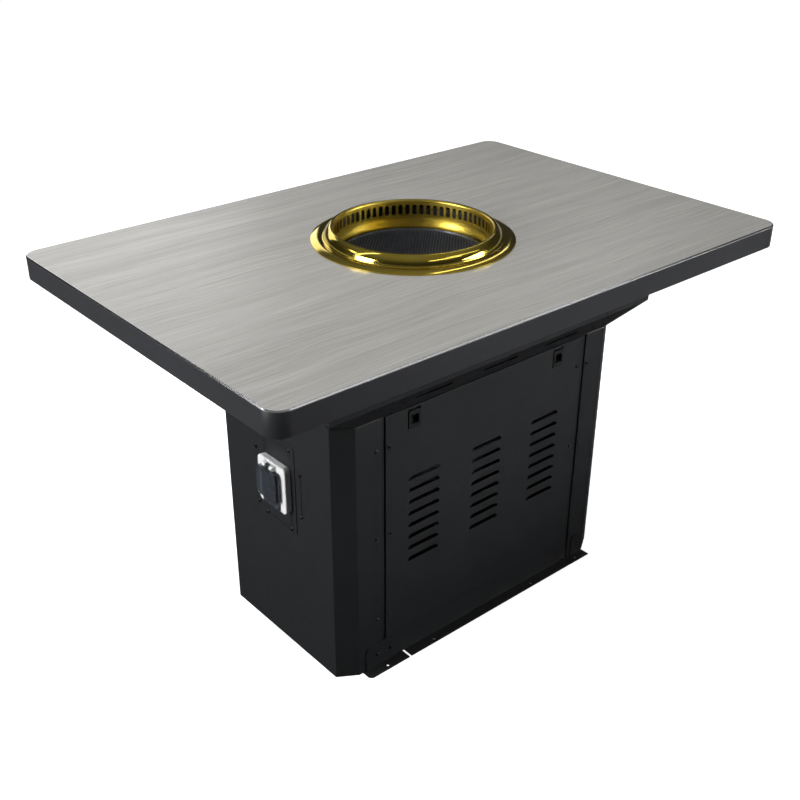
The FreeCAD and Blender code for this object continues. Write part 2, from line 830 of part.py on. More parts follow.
def make_blower():
    """Scroll housing, impeller and motor on one upright shaft, hung under the shelf."""
    outer = scroll_outline(0, scroll_reach).extrude(Vector(0, 0, blower_height))
    inner = scroll_outline(sheet, scroll_reach + cutter_overrun)
    inner = inner.extrude(Vector(0, 0, blower_height - sheet - sheet))
    inner.translate(Vector(0, 0, sheet))
    scroll = outer.cut(inner)
    scroll.translate(Vector(0, 0, blower_bottom))
    scroll = scroll.cut(rod((blower_x, blower_y, blower_bottom + blower_height / 2), (0, 0, 1),
                            blower_height, inlet_radius))
    scroll = scroll.cut(rod((blower_x, blower_y, blower_bottom - cutter_overrun), (0, 0, 1),
                            blower_height / 2, shaft_hole_radius))
    save("blower_scroll", scroll)

    base = blower_bottom + (blower_height - impeller_height) / 2
    wheel = rod((0, 0, base), (0, 0, 1), impeller_disc, impeller_radius)
    ring = tube(impeller_radius, impeller_ring_width, base + impeller_height - impeller_disc,
                base + impeller_height)
    wheel = wheel.fuse(ring).fuse(rod((0, 0, base), (0, 0, 1), hub_height, hub_radius))
    blades = []
    for index in range(blade_count):
        blade = impeller_blade(base)
        blade.rotate(Vector(0, 0, 0), Vector(0, 0, 1), 360 * index / blade_count)
        blades.append(blade)
    wheel = wheel.fuse(blades)
    bore = rod((0, 0, base - cutter_overrun), (0, 0, 1), impeller_height + cutter_overrun,
               shaft_radius + pin_clearance)
    wheel = wheel.cut(bore)
    wheel.translate(Vector(blower_x, blower_y, 0))
    save("impeller", wheel)

    motor_top = blower_bottom
    motor = rod((0, 0, motor_top - motor_height), (0, 0, 1), motor_height, motor_radius)
    motor = motor.fuse(rod((0, 0, motor_top - motor_flange_thickness), (0, 0, 1),
                           motor_flange_thickness, motor_flange_radius))
    motor = motor.fuse(rod((0, 0, motor_top), (0, 0, 1), base + hub_height - motor_top, shaft_radius))
    for index in range(motor_rib_count):
        groove = box(motor_radius - motor_rib_depth, motor_flange_radius,
                     -motor_rib_width / 2, motor_rib_width / 2,
                     motor_top - motor_height + motor_rib_depth,
                     motor_top - motor_flange_thickness - motor_rib_depth)
        groove.rotate(Vector(0, 0, 0), Vector(0, 0, 1), 360 * index / motor_rib_count)
        motor = motor.cut(groove)
    motor.translate(Vector(blower_x, blower_y, 0))
    save("blower_motor", motor)


def impeller_blade(base):
    """One forward-curved blade between the impeller's disc and its ring."""
    outer = impeller_radius - blade_thickness
    inner = outer - blade_length
    back = [(inner, 0), ((inner + outer) / 2, -blade_sweep / 2), (outer, blade_sweep / 2)]
    front = [(x, y + blade_thickness) for x, y in back]
    wire = curved_wire((back[0][0], back[0][1], base), [
        [(back[1][0], back[1][1], base), (back[2][0], back[2][1], base)],
        [(front[2][0], front[2][1], base)],
        [(front[1][0], front[1][1], base), (front[0][0], front[0][1], base)],
    ])
    return Part.Face(wire).extrude(Vector(0, 0, impeller_height))


def column_screw_places():
    """Seats of the screws that hold the jambs behind the columns."""
    return [(side * column_screw_half, ped_front, z) for side in (-1, 1) for z in side_screw_heights]


def end_screw_places():
    """Seats of the screws beside the access plate."""
    half = access_width / 2 + end_screw_offset
    places = []
    for side, rises in ((-1, end_screw_front_rises), (1, end_screw_back_rises)):
        places += [(end_face, access_centre_y + side * half, access_centre_z + rise) for rise in rises]
    return places


def foot_screw_places():
    """Seats of the screws through the foot brackets' upright tabs."""
    face = ped_front - floor_flange_thickness
    return [(x, face, foot_screw_height) for x in foot_screw_offsets]


def rear_screw_places():
    """Seats of the screws that hold the rear panel behind the columns."""
    return [(side * column_screw_half, ped_back, z) for side in (-1, 1) for z in side_screw_heights]


def access_screw_places():
    """Seats of the screws at the access plate's corners."""
    y = access_width / 2 - access_screw_inset
    z = access_height / 2 - access_screw_rise
    return [(plate_face, access_centre_y + a * y, access_centre_z + b * z)
            for a in (-1, 1) for b in (-1, 1)]


def panel_screw_places():
    """Seats of the screws that hold the stiffeners behind the service panel."""
    return [(side * panel_screw_half, ped_front, z) for side in (-1, 1) for z in side_screw_heights]


def make_pedestal():
    """Two folded end shells, a rear panel, door jambs, a header and a bottom pan."""
    outline = octagon(0)
    left_path = [
        (-door_opening_half, ped_back), outline[6], outline[7], outline[0], outline[1],
        (-door_opening_half, ped_front), (-door_opening_half, jamb_front),
    ]
    left = folded(left_path, sheet, 0, pedestal_height)
    right = mirrored(left)
    holes = screw_holes(column_screw_places(), (0, -1, 0))
    foot_holes = screw_holes(foot_screw_places(), (0, -1, 0))
    window = wiring_window / 2
    left = left.cut(box(end_face - cutter_overrun, end_face + cutter_overrun,
                        access_centre_y - window, access_centre_y + window,
                        access_centre_z - window, access_centre_z + window))
    for places in (end_screw_places(), access_screw_places()):
        left = left.cut(screw_holes(places, (-1, 0, 0)))
    rear_holes = screw_holes(rear_screw_places(), (0, 1, 0))
    save_pedestal("left_end_shell", left.cut(holes).cut(foot_holes).cut(rear_holes))
    save_pedestal("right_end_shell", right.cut(holes).cut(foot_holes).cut(rear_holes))

    lap = door_opening_half + jamb_lap
    rear_face = ped_back - sheet
    rear = box(-lap, lap, rear_face - sheet, rear_face, pan_lift + pan_rim_height, pedestal_height)
    save_pedestal("rear_panel", rear.cut(rear_holes))

    jamb_path = [
        (-lap, jamb_front), (-jamb_edge_half, jamb_front), (-jamb_edge_half, header_front),
        (-jamb_edge_half + stop_flange_width, header_front),
    ]
    jamb = folded_jamb(jamb_path).cut(holes)
    save_pedestal("jamb_left", jamb.cut(foot_holes))
    save_pedestal("jamb_right", mirrored(jamb).cut(foot_holes))

    z1 = pedestal_height
    header = box(-lap, lap, header_front, header_front + sheet, header_bottom, z1)
    header = header.fuse(box(-lap, lap, header_front, header_front + header_depth,
                             header_bottom, header_bottom + sheet))
    header = header.fuse(box(-lap, lap, ped_front + hood_sheet + seat_gap, header_front + header_depth,
                             z1, z1 + sheet))
    for side in (-1, 1):
        header = header.cut(latch_window(side))
    save_pedestal("header_rail", header.removeSplitter())

    rim_top = pan_lift + pan_rim_height
    pan = prism_z(octagon(sheet), pan_lift, rim_top)
    pan = pan.cut(prism_z(octagon(sheet + sheet), pan_top, rim_top + cutter_overrun))
    hem = door_opening_half - seat_gap
    for side in (-1, 1):
        notch = sorted((side * hem, side * (hem + sheet + seat_gap + seat_gap)))
        pan = pan.cut(box(notch[0], notch[1], ped_front, ped_front + sheet + sheet,
                          pan_lift, rim_top))
    save_pedestal("base_pan", pan.cut(foot_holes))


def folded_jamb(path):
    """Door jamb: a recessed face behind the column, a return and a stop for the panel."""
    (lap_x, face_y), (edge_x, _), (_, stop_y), (end_x, _) = path
    jamb = box(lap_x, edge_x, face_y, face_y + sheet, pan_top, pedestal_height)
    jamb = jamb.fuse(box(edge_x - sheet, edge_x, face_y, stop_y, pan_top, pedestal_height))
    jamb = jamb.fuse(box(edge_x - sheet, end_x, stop_y - sheet, stop_y, pan_top, pedestal_height))
    return jamb.removeSplitter()


def make_base():
    """Bottom rail under the service panel, and the two foot brackets that bolt to the floor."""
    top = panel_bottom - seat_gap
    front = ped_front - floor_flange_reach
    rail = box(-jamb_edge_half, jamb_edge_half, ped_front, panel_inner, 0, top)
    rail = rail.fuse(box(-jamb_edge_half, jamb_edge_half, ped_front, panel_rear, top - sheet, top))
    rail = rail.fuse(box(-floor_flange_left, floor_flange_right, front, panel_inner,
                         0, floor_flange_thickness))
    for side in (-1, 1):
        rail = rail.cut(floor_hole(side * rail_hole_half))
    save_pedestal("base_rail", rail.cut(screw_holes(foot_screw_places(), (0, -1, 0))).removeSplitter())

    left = foot_flange(-1, left_foot_inner, left_foot_outer, left_foot_corner)
    left = foot_bracket(left, -left_tab_outer, -left_tab_inner, -left_foot_hole)
    save_pedestal("foot_bracket_left", left)
    right = foot_flange(1, right_foot_inner, right_foot_outer, right_foot_corner)
    right = foot_bracket(right, right_tab_inner, right_tab_outer, right_foot_hole)
    save_pedestal("foot_bracket_right", right)


def floor_hole(x):
    """Hole for a floor bolt in the flanges in front of the pedestal, as a cutter."""
    hole_y = ped_front - floor_flange_reach + foot_hole_edge
    return rod((x, hole_y, -cutter_overrun), (0, 0, 1), cutter_overrun + cutter_overrun,
               foot_hole_radius)


def foot_flange(side, inner, outer, corner):
    """Floor flange of a foot bracket, with its outer front corner cut off where one is given."""
    front = ped_front - floor_flange_reach
    points = [(side * inner, ped_front), (side * inner, front)]
    if corner > 0:
        points.append((side * (outer - corner), front))
    points += [(side * outer, front + corner), (side * outer, ped_front)]
    return prism_z(points, 0, floor_flange_thickness)


def foot_bracket(flange, tab_x0, tab_x1, hole):
    """Angle bracket with a floor flange and an upright tab with rounded shoulders."""
    back = ped_front - floor_flange_thickness
    tab = rounded_box(tab_x0, tab_x1, back, ped_front, -foot_tab_height, foot_tab_height,
                      foot_tab_radius, Vector(0, 1, 0))
    tab = tab.common(box(tab_x0, tab_x1, back, ped_front, 0, foot_tab_height))
    foot = flange.fuse(tab).cut(floor_hole(hole))
    return foot.cut(screw_holes(foot_screw_places(), (0, -1, 0))).removeSplitter()


def louvre_tool(x, z, radius, y0):
    """Half capsule above a straight lip: the hollow or the skin of one pressed louvre."""
    reach = louvre_length / 2 - (louvre_radius - louvre_sheet)
    capsule = rod((x - reach, y0, z), (1, 0, 0), reach + reach, radius)
    for end in (x - reach, x + reach):
        capsule = capsule.fuse(Part.makeSphere(radius, Vector(end, y0, z)))
    half = louvre_length
    return capsule, box(x - half, x + half, y0, y0 + half, z, z + half)


def make_service_panel():
    """Front panel: a shallow tray with three columns of inward-pressed louvres."""
    top = panel_top
    tray = box(-panel_half, panel_half, ped_front, panel_rear, panel_bottom, top)
    tray = tray.cut(box(-panel_half + sheet, panel_half - sheet, panel_inner, panel_rear + cutter_overrun,
                        panel_bottom + sheet, top - sheet))
    skins = []
    hollows = []
    for column in (-1, 0, 1):
        for row in range(louvre_rows):
            x = column * louvre_spacing
            z = panel_top - louvre_drop - row * louvre_pitch
            skin, quarter = louvre_tool(x, z, louvre_radius, ped_front)
            hollow, _ = louvre_tool(x, z, louvre_radius - louvre_sheet, ped_front)
            skins.append(skin.common(quarter).cut(hollow))
            hollows.append(hollow.common(box(x - louvre_length, x + louvre_length,
                                             ped_front - louvre_radius, ped_front + louvre_radius,
                                             z, z + louvre_radius)))
    tray = tray.cut(Part.makeCompound(hollows)).fuse(skins)
    for side in (-1, 1):
        tray = tray.cut(latch_opening(side))
    tray = tray.cut(screw_holes(panel_screw_places(), (0, -1, 0)))
    save_pedestal("service_panel", tray.removeSplitter())

    outer = panel_half - sheet
    inner = outer - stiffener_width
    z0 = panel_bottom + sheet + stiffener_foot
    z1 = top - sheet - stiffener_head
    y1 = panel_inner + stiffener_depth
    bar = box(-outer, -inner, panel_inner, y1, z0, z1)
    bar = bar.cut(box(-outer + sheet, -inner - sheet, panel_inner + sheet, y1 + cutter_overrun,
                      z0 - cutter_overrun, z1 + cutter_overrun))
    bar = bar.cut(screw_holes(panel_screw_places(), (0, -1, 0)))
    save_pedestal("stiffener_left", bar)
    save_pedestal("stiffener_right", mirrored(bar))


def latch_opening(side):
    """Opening in the panel for one latch, as a cutter."""
    x = side * latch_offset
    half = latch_opening_width / 2
    rise = latch_opening_height / 2
    return box(x - half, x + half, ped_front - cutter_overrun, panel_inner,
               latch_height - rise, latch_height + rise)


def latch_tail_top():
    """Height of the top of the latch's tail at rest."""
    return latch_height + latch_opening_height / 2 - latch_travel - latch_fit


def latch_window(side):
    """Opening in the header for one latch's hook, with room for its lift."""
    x = side * latch_offset + latch_side_gap / 2
    half = latch_tail_width / 2 + latch_fit + latch_fit
    top = latch_tail_top() + latch_travel + latch_fit + latch_fit
    low = latch_tail_top() - latch_tail_height - latch_hook_drop - latch_fit - latch_fit
    return box(x - half, x + half, header_front - cutter_overrun, header_front + sheet + sheet, low, top)


def make_latches():
    """Slide latches: a housing behind the panel and a finger plate that lifts in it."""
    for side, name in ((-1, "left"), (1, "right")):
        x = side * latch_offset
        half = latch_opening_width / 2
        low = latch_height - latch_opening_height / 2
        high = latch_height + latch_opening_height / 2
        y1 = panel_inner + latch_housing_depth
        wall = latch_housing_wall
        housing = box(x - half - wall, x + half + wall, panel_inner, y1, low - wall, high + wall)
        housing = housing.cut(box(x - half, x + half, panel_inner - cutter_overrun, y1 - wall, low, high))
        tail_x = x + latch_side_gap / 2
        tail_half = latch_tail_width / 2
        slot_low = latch_tail_top() - latch_tail_height - latch_fit
        slot_high = latch_tail_top() + latch_travel + latch_fit
        housing = housing.cut(box(tail_x - tail_half - latch_fit, tail_x + tail_half + latch_fit,
                                  y1 - wall - latch_fit, y1 + cutter_overrun, slot_low, slot_high))
        save_pedestal("latch_housing_" + name, housing)

        x0 = x - half + latch_side_gap
        x1 = x + half - latch_fit
        z0 = low + latch_fit
        z1 = high - latch_travel - latch_fit
        plate = box(x0, x1, ped_front, ped_front + latch_plate, z0, z1)
        pull_x1 = x1 - latch_pull_side_margin
        pull_z0 = z0 + latch_pull_lower_margin
        plate = plate.cut(box(pull_x1 - latch_pull_size, pull_x1, ped_front - cutter_overrun,
                              ped_front + cutter_overrun, pull_z0, pull_z0 + latch_pull_size))
        plate = plate.fuse(box(pull_x1 - latch_pull_size, pull_x1, ped_front,
                               y1 - wall - latch_fit, pull_z0 - latch_tab, pull_z0))
        reach = ped_front + latch_tail_reach
        tail = box(tail_x - tail_half, tail_x + tail_half, ped_front, reach,
                   z1 - latch_tail_height, z1)
        hook = box(tail_x - tail_half, tail_x + tail_half, reach - latch_tail_height, reach,
                   z1 - latch_tail_height - latch_hook_drop, z1)
        save_pedestal("latch_slider_" + name, plate.fuse(tail).fuse(hook).removeSplitter())


def make_left_end():
    """Access plate, control box and the weatherproof switch with its flip cover."""
    y = access_centre_y
    z = access_centre_z
    half_w = access_width / 2
    half_h = access_height / 2
    x_axis = Vector(1, 0, 0)
    plate = rounded_box(plate_face, end_face, y - half_w, y + half_w, z - half_h, z + half_h,
                        access_corner, x_axis)
    save_pedestal("access_plate", plate.cut(screw_holes(access_screw_places(), (-1, 0, 0))))

    box_w = control_box_width / 2
    inside = end_face + sheet
    control = rounded_box(inside, inside + control_box_depth, y - box_w, y + box_w, purifier_bottom,
                          purifier_bottom + control_box_height, control_box_corner, x_axis)
    for places in (end_screw_places(), access_screw_places()):
        control = control.cut(screw_holes(places, (-1, 0, 0)))
    save_pedestal("control_box", control)

    half_w = switch_width / 2
    half_h = switch_height / 2
    base_back = plate_face - gasket_thickness
    gasket = rounded_box(base_back, plate_face, y - half_w + gasket_margin, y + half_w - gasket_margin,
                         z - half_h + gasket_margin, z + half_h - gasket_margin, switch_corner, x_axis)
    save_pedestal("switch_gasket", gasket)
    make_switch_base(y, z, half_w, half_h, base_back)
    make_switch_module(y)
    make_flip_cover(y)


def make_switch_base(y, z, half_w, half_h, base_back):
    """White base with a pocket for the switch, two hinge bosses and two cable knock-outs."""
    base = rounded_box(switch_face, base_back, y - half_w, y + half_w, z - half_h, z + half_h,
                       switch_corner, Vector(1, 0, 0))
    rim = [edge for edge in base.Edges if edge.BoundBox.XMax < switch_face + pin_clearance]
    base = base.makeFillet(switch_edge_round, rim)
    base = base.cut(rounded_box(switch_face - cutter_overrun, switch_face + pocket_depth,
                                y - pocket_width / 2, y + pocket_width / 2,
                                pocket_centre_z - pocket_height / 2, pocket_centre_z + pocket_height / 2,
                                pocket_corner, Vector(1, 0, 0)))
    low = z - half_h
    for side in (-1, 1):
        base = base.cut(rod((switch_face - cutter_overrun, y + side * gland_spacing / 2, low), (1, 0, 0),
                            cutter_overrun + gland_radius, gland_radius))
    boss_start = hinge_knuckle_length / 2 + hinge_knuckle_gap
    boss_end = boss_start + hinge_boss_length
    for side in (-1, 1):
        ends = sorted((y + side * boss_start, y + side * boss_end))
        base = base.fuse(rod((hinge_x, ends[0], hinge_z), (0, 1, 0), hinge_boss_length, hinge_boss_radius))
        base = base.fuse(box(hinge_x, switch_face + pocket_corner, ends[0], ends[1],
                             hinge_z - hinge_boss_radius, hinge_z + hinge_boss_radius))
    base = base.cut(hinge_bore(y))
    save_pedestal("switch_base", base.removeSplitter())
    save_pedestal("cover_hinge_pin", rod((hinge_x, y - boss_end, hinge_z), (0, 1, 0), boss_end + boss_end,
                                hinge_pin_radius))


def hinge_bore(y):
    """Bore for the cover's hinge pin, as a cutter."""
    return rod((hinge_x, y - cover_width, hinge_z), (0, 1, 0), cover_width + cover_width,
               hinge_pin_radius + pin_clearance)


def make_switch_module(y):
    """Switch module in the base's pocket, with its rocker at the off side."""
    half_w = pocket_width / 2 - module_fit
    half_h = pocket_height / 2 - module_fit
    z = pocket_centre_z
    back = switch_face + pocket_depth - seat_gap
    front = back - module_depth
    module = rounded_box(front, back, y - half_w, y + half_w, z - half_h, z + half_h,
                         pocket_corner, Vector(1, 0, 0))
    slot_w = rocker_width / 2 + rocker_fit
    slot_h = rocker_height / 2 + rocker_fit
    module = module.cut(box(front - cutter_overrun, front + rocker_pocket_depth,
                            y - slot_w, y + slot_w, z - slot_h, z + slot_h))
    save_pedestal("switch_module", module)

    half = rocker_height / 2
    rocker = prism([
        (rocker_x - rocker_rise, y - rocker_width / 2, z - half),
        (rocker_x - rocker_waist, y - rocker_width / 2, z),
        (rocker_x - rocker_rise, y - rocker_width / 2, z + half),
        (rocker_x, y - rocker_width / 2, z + half),
        (rocker_x + rocker_waist, y - rocker_width / 2, z),
        (rocker_x, y - rocker_width / 2, z - half),
    ], (0, rocker_width, 0))
    rocker.rotate(Vector(rocker_x, y, z), Vector(0, 1, 0), -rocker_angle)
    save_pedestal("switch_rocker", rocker)


def make_flip_cover(y):
    """Smoked cover, an open-backed box with an apron, that swings up on the hinge pin."""
    half_w = cover_width / 2
    low = cover_top - cover_height
    front = cover_back - cover_depth
    cover = rounded_box(front, cover_back, y - half_w, y + half_w, low, cover_top,
                        cover_corner, Vector(1, 0, 0))
    inner = rounded_box(front + cover_wall, cover_back + cutter_overrun,
                        y - half_w + cover_wall, y + half_w - cover_wall,
                        low + cover_wall, cover_top - cover_wall,
                        cover_corner - cover_wall, Vector(1, 0, 0))
    cover = cover.cut(inner)
    apron_half = cover_apron_width / 2
    apron = box(cover_back - cover_apron_thickness, cover_back, y - apron_half, y + apron_half,
                low - cover_apron_drop, low + cover_wall)
    cover = cover.fuse(apron)
    half_knuckle = hinge_knuckle_length / 2
    half_web = hinge_web_thickness / 2
    knuckle = rod((hinge_x, y - half_knuckle, hinge_z), (0, 1, 0), hinge_knuckle_length,
                  hinge_knuckle_radius)
    knuckle = knuckle.fuse(box(hinge_x - half_web, hinge_x + half_web, y - half_knuckle, y + half_knuckle,
                               cover_top - cover_wall / 2, hinge_z))
    save_pedestal("flip_cover", cover.fuse(knuckle.cut(hinge_bore(y))).removeSplitter())


def make_screws():
    """One group for each set of identical screws."""
    save_pedestal("column_screws", screw_group(column_screw_places(), (0, -1, 0)))
    save_pedestal("panel_screws", screw_group(panel_screw_places(), (0, -1, 0)))
    save_pedestal("access_plate_screws", screw_group(access_screw_places(), (-1, 0, 0)))
    save_pedestal("end_shell_screws", screw_group(end_screw_places(), (-1, 0, 0)))
    save_pedestal("rear_panel_screws", screw_group(rear_screw_places(), (0, 1, 0)))
    save_pedestal("foot_screws", screw_group(foot_screw_places(), (0, -1, 0)))


os.makedirs("parts", exist_ok=True)
make_tabletop()
make_top_rails()
make_hood()
make_grill_ring()
make_mesh_plate()
make_fire_bowl()
make_bowl_stand()
make_exhaust_path()
make_purifier()
make_blower()
make_pedestal()
make_base()
make_service_panel()
make_latches()
make_left_end()
make_screws()
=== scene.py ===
"""Dresses the smokeless barbecue table: finishes for every part, and finer ring, mesh and screws."""

import cmath
import json
import logging
import math
from dataclasses import dataclass, field
from enum import Enum
from functools import reduce
from typing import Callable, Iterable, Sequence

import bpy
from bpy.types import ID, Material, Node, NodeInputs, NodeOutputs, NodeSocket, NodeTree, Object
from mathutils import Matrix, Vector

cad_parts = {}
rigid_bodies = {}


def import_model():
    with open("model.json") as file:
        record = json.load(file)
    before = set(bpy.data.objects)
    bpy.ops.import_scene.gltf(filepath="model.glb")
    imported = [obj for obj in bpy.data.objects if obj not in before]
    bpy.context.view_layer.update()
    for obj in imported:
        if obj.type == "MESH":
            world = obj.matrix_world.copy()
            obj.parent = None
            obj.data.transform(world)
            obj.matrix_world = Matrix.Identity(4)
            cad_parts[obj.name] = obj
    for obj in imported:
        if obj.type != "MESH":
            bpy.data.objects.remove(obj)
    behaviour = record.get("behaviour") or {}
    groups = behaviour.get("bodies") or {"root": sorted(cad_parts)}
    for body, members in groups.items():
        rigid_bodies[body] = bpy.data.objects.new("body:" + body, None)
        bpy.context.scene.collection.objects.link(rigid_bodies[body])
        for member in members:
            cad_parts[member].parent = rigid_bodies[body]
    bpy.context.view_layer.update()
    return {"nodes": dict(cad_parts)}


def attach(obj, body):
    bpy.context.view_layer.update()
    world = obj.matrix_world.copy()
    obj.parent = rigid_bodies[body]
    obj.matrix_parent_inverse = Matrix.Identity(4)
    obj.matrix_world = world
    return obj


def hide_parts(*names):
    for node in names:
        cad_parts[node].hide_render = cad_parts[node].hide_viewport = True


LOG = logging.getLogger("barbecue_table")
Colour = tuple[float, float, float]
Point = tuple[float, float, float]
Pair = tuple[float, float]


class Body(Enum):
    """The table's bodies that new pieces ride on."""

    TABLE = "table"
    RING = "ring"
    MESH = "mesh"
    PANEL = "panel"


class Facing(Enum):
    """The way a screw's head looks."""

    FRONT = (0.0, -1.0, 0.0)
    REAR = (0.0, 1.0, 0.0)
    LEFT = (-1.0, 0.0, 0.0)


class Reach(Enum):
    """What a light does: fill the matt surfaces, be mirrored in the glossy ones, or both."""

    FILL = "fill"
    GLOSS = "gloss"
    BOTH = "both"


class Workbench:
    """Mesh modelling by Blender's own operators."""

    @staticmethod
    def clear() -> None:
        """Leave nothing selected."""
        for item in bpy.context.scene.objects:
            item.select_set(False)
        bpy.context.view_layer.objects.active = None

    @staticmethod
    def take(piece: Object) -> None:
        """Make one object the only selected and active one."""
        Workbench.clear()
        piece.select_set(True)
        bpy.context.view_layer.objects.active = piece

    @staticmethod
    def fresh(name: str) -> Object:
        """Name the primitive that was just added, and put its place and turn into its mesh.

        Args:
            name: the piece's name.

        Returns:
            The new object.
        """
        piece = bpy.context.active_object
        piece.name = name
        piece.data.name = name
        piece.data.transform(piece.matrix_world)
        piece.matrix_world = Matrix.Identity(4)
        Workbench.take(piece)
        return piece

    @staticmethod
    def paint(piece: Object, finish: Material) -> None:
        """Give an object one material and no other."""
        piece.data.materials.clear()
        piece.data.materials.append(finish)

    @staticmethod
    def aimed(name: str, data: ID, place: Point, ahead: Vector) -> Object:
        """Add a light or camera that looks along a direction.

        Args:
            name: the object's name.
            data: the light or camera.
            place: where it is.
            ahead: the direction that it looks along.

        Returns:
            The new object.
        """
        item = bpy.data.objects.new(name, data)
        item.location = place
        item.rotation_mode = "QUATERNION"
        item.rotation_quaternion = ahead.to_track_quat("-Z", "Y")
        bpy.context.scene.collection.objects.link(item)
        return item

    @staticmethod
    def pick(piece: Object, wanted: Callable[[Vector], bool], kind: str = "VERT") -> None:
        """Select vertices, edges or faces by where their middle lies.

        Args:
            piece: an object in edit mode.
            wanted: tells whether a middle point is picked.
            kind: VERT, EDGE or FACE.
        """
        bpy.ops.mesh.select_mode(type=kind)
        bpy.ops.mesh.select_all(action="DESELECT")
        bpy.ops.object.mode_set(mode="OBJECT")
        corners = piece.data.vertices
        if kind == "VERT":
            middles = [(vertex, vertex.co) for vertex in corners]
        elif kind == "EDGE":
            ends = [(edge, *edge.vertices) for edge in piece.data.edges]
            middles = [(edge, (corners[first].co + corners[last].co) / 2) for edge, first, last in ends]
        else:
            middles = [(face, face.center) for face in piece.data.polygons]
        for part, middle in middles:
            part.select = wanted(middle)
        bpy.ops.object.mode_set(mode="EDIT")

    @staticmethod
    def finish_modifiers(piece: Object) -> None:
        """Apply all of an object's modifiers."""
        Workbench.take(piece)
        for modifier in list(piece.modifiers):
            bpy.ops.object.modifier_apply(modifier=modifier.name)

    @staticmethod
    def cut(piece: Object, cutter: Object) -> None:
        """Take a cutter's shape out of an object and delete the cutter."""
        modifier = piece.modifiers.new("cut", "BOOLEAN")
        modifier.operation = "DIFFERENCE"
        modifier.solver = "EXACT"
        modifier.object = cutter
        Workbench.finish_modifiers(piece)
        bpy.data.objects.remove(cutter)

    @staticmethod
    def outward(piece: Object, angle: float = 35.0) -> None:
        """Merge doubles, turn the faces outwards and smooth them up to an angle in degrees."""
        Workbench.take(piece)
        bpy.ops.object.mode_set(mode="EDIT")
        bpy.ops.mesh.select_all(action="SELECT")
        bpy.ops.mesh.remove_doubles(threshold=1e-6)
        bpy.ops.mesh.normals_make_consistent(inside=False)
        bpy.ops.object.mode_set(mode="OBJECT")
        bpy.ops.object.shade_smooth_by_angle(angle=math.radians(angle))

    @staticmethod
    def join(pieces: Sequence[Object], name: str) -> Object:
        """Join objects into one.

        Args:
            pieces: the objects; the first one stays.
            name: the joined piece's name.

        Returns:
            The joined object.
        """
        Workbench.clear()
        for piece in pieces:
            piece.select_set(True)
        bpy.context.view_layer.objects.active = pieces[0]
        bpy.ops.object.join()
        pieces[0].name = name
        return pieces[0]

    @staticmethod
    def turned(name: str, profile: Sequence[Pair], segments: int) -> Object:
        """Turn a closed profile of (radius, height) points round the Z axis.

        Args:
            name: the piece's name.
            profile: the closed profile's points.
            segments: the number of steps round the axis.

        Returns:
            The turned piece.
        """
        radius, height = profile[0]
        bpy.ops.mesh.primitive_circle_add(vertices=segments, radius=radius, location=(0, 0, height))
        piece = Workbench.fresh(name)
        bpy.ops.object.mode_set(mode="EDIT")
        bpy.ops.mesh.select_mode(type="EDGE")
        bpy.ops.mesh.select_all(action="SELECT")
        for next_radius, next_height in list(profile[1:]) + [profile[0]]:
            bpy.ops.mesh.extrude_region_move(
                TRANSFORM_OT_translate={"value": (0, 0, next_height - height)})
            share = next_radius / radius
            bpy.ops.transform.resize(value=(share, share, 1), center_override=(0, 0, next_height))
            radius, height = next_radius, next_height
        bpy.ops.object.mode_set(mode="OBJECT")
        Workbench.outward(piece)
        return piece


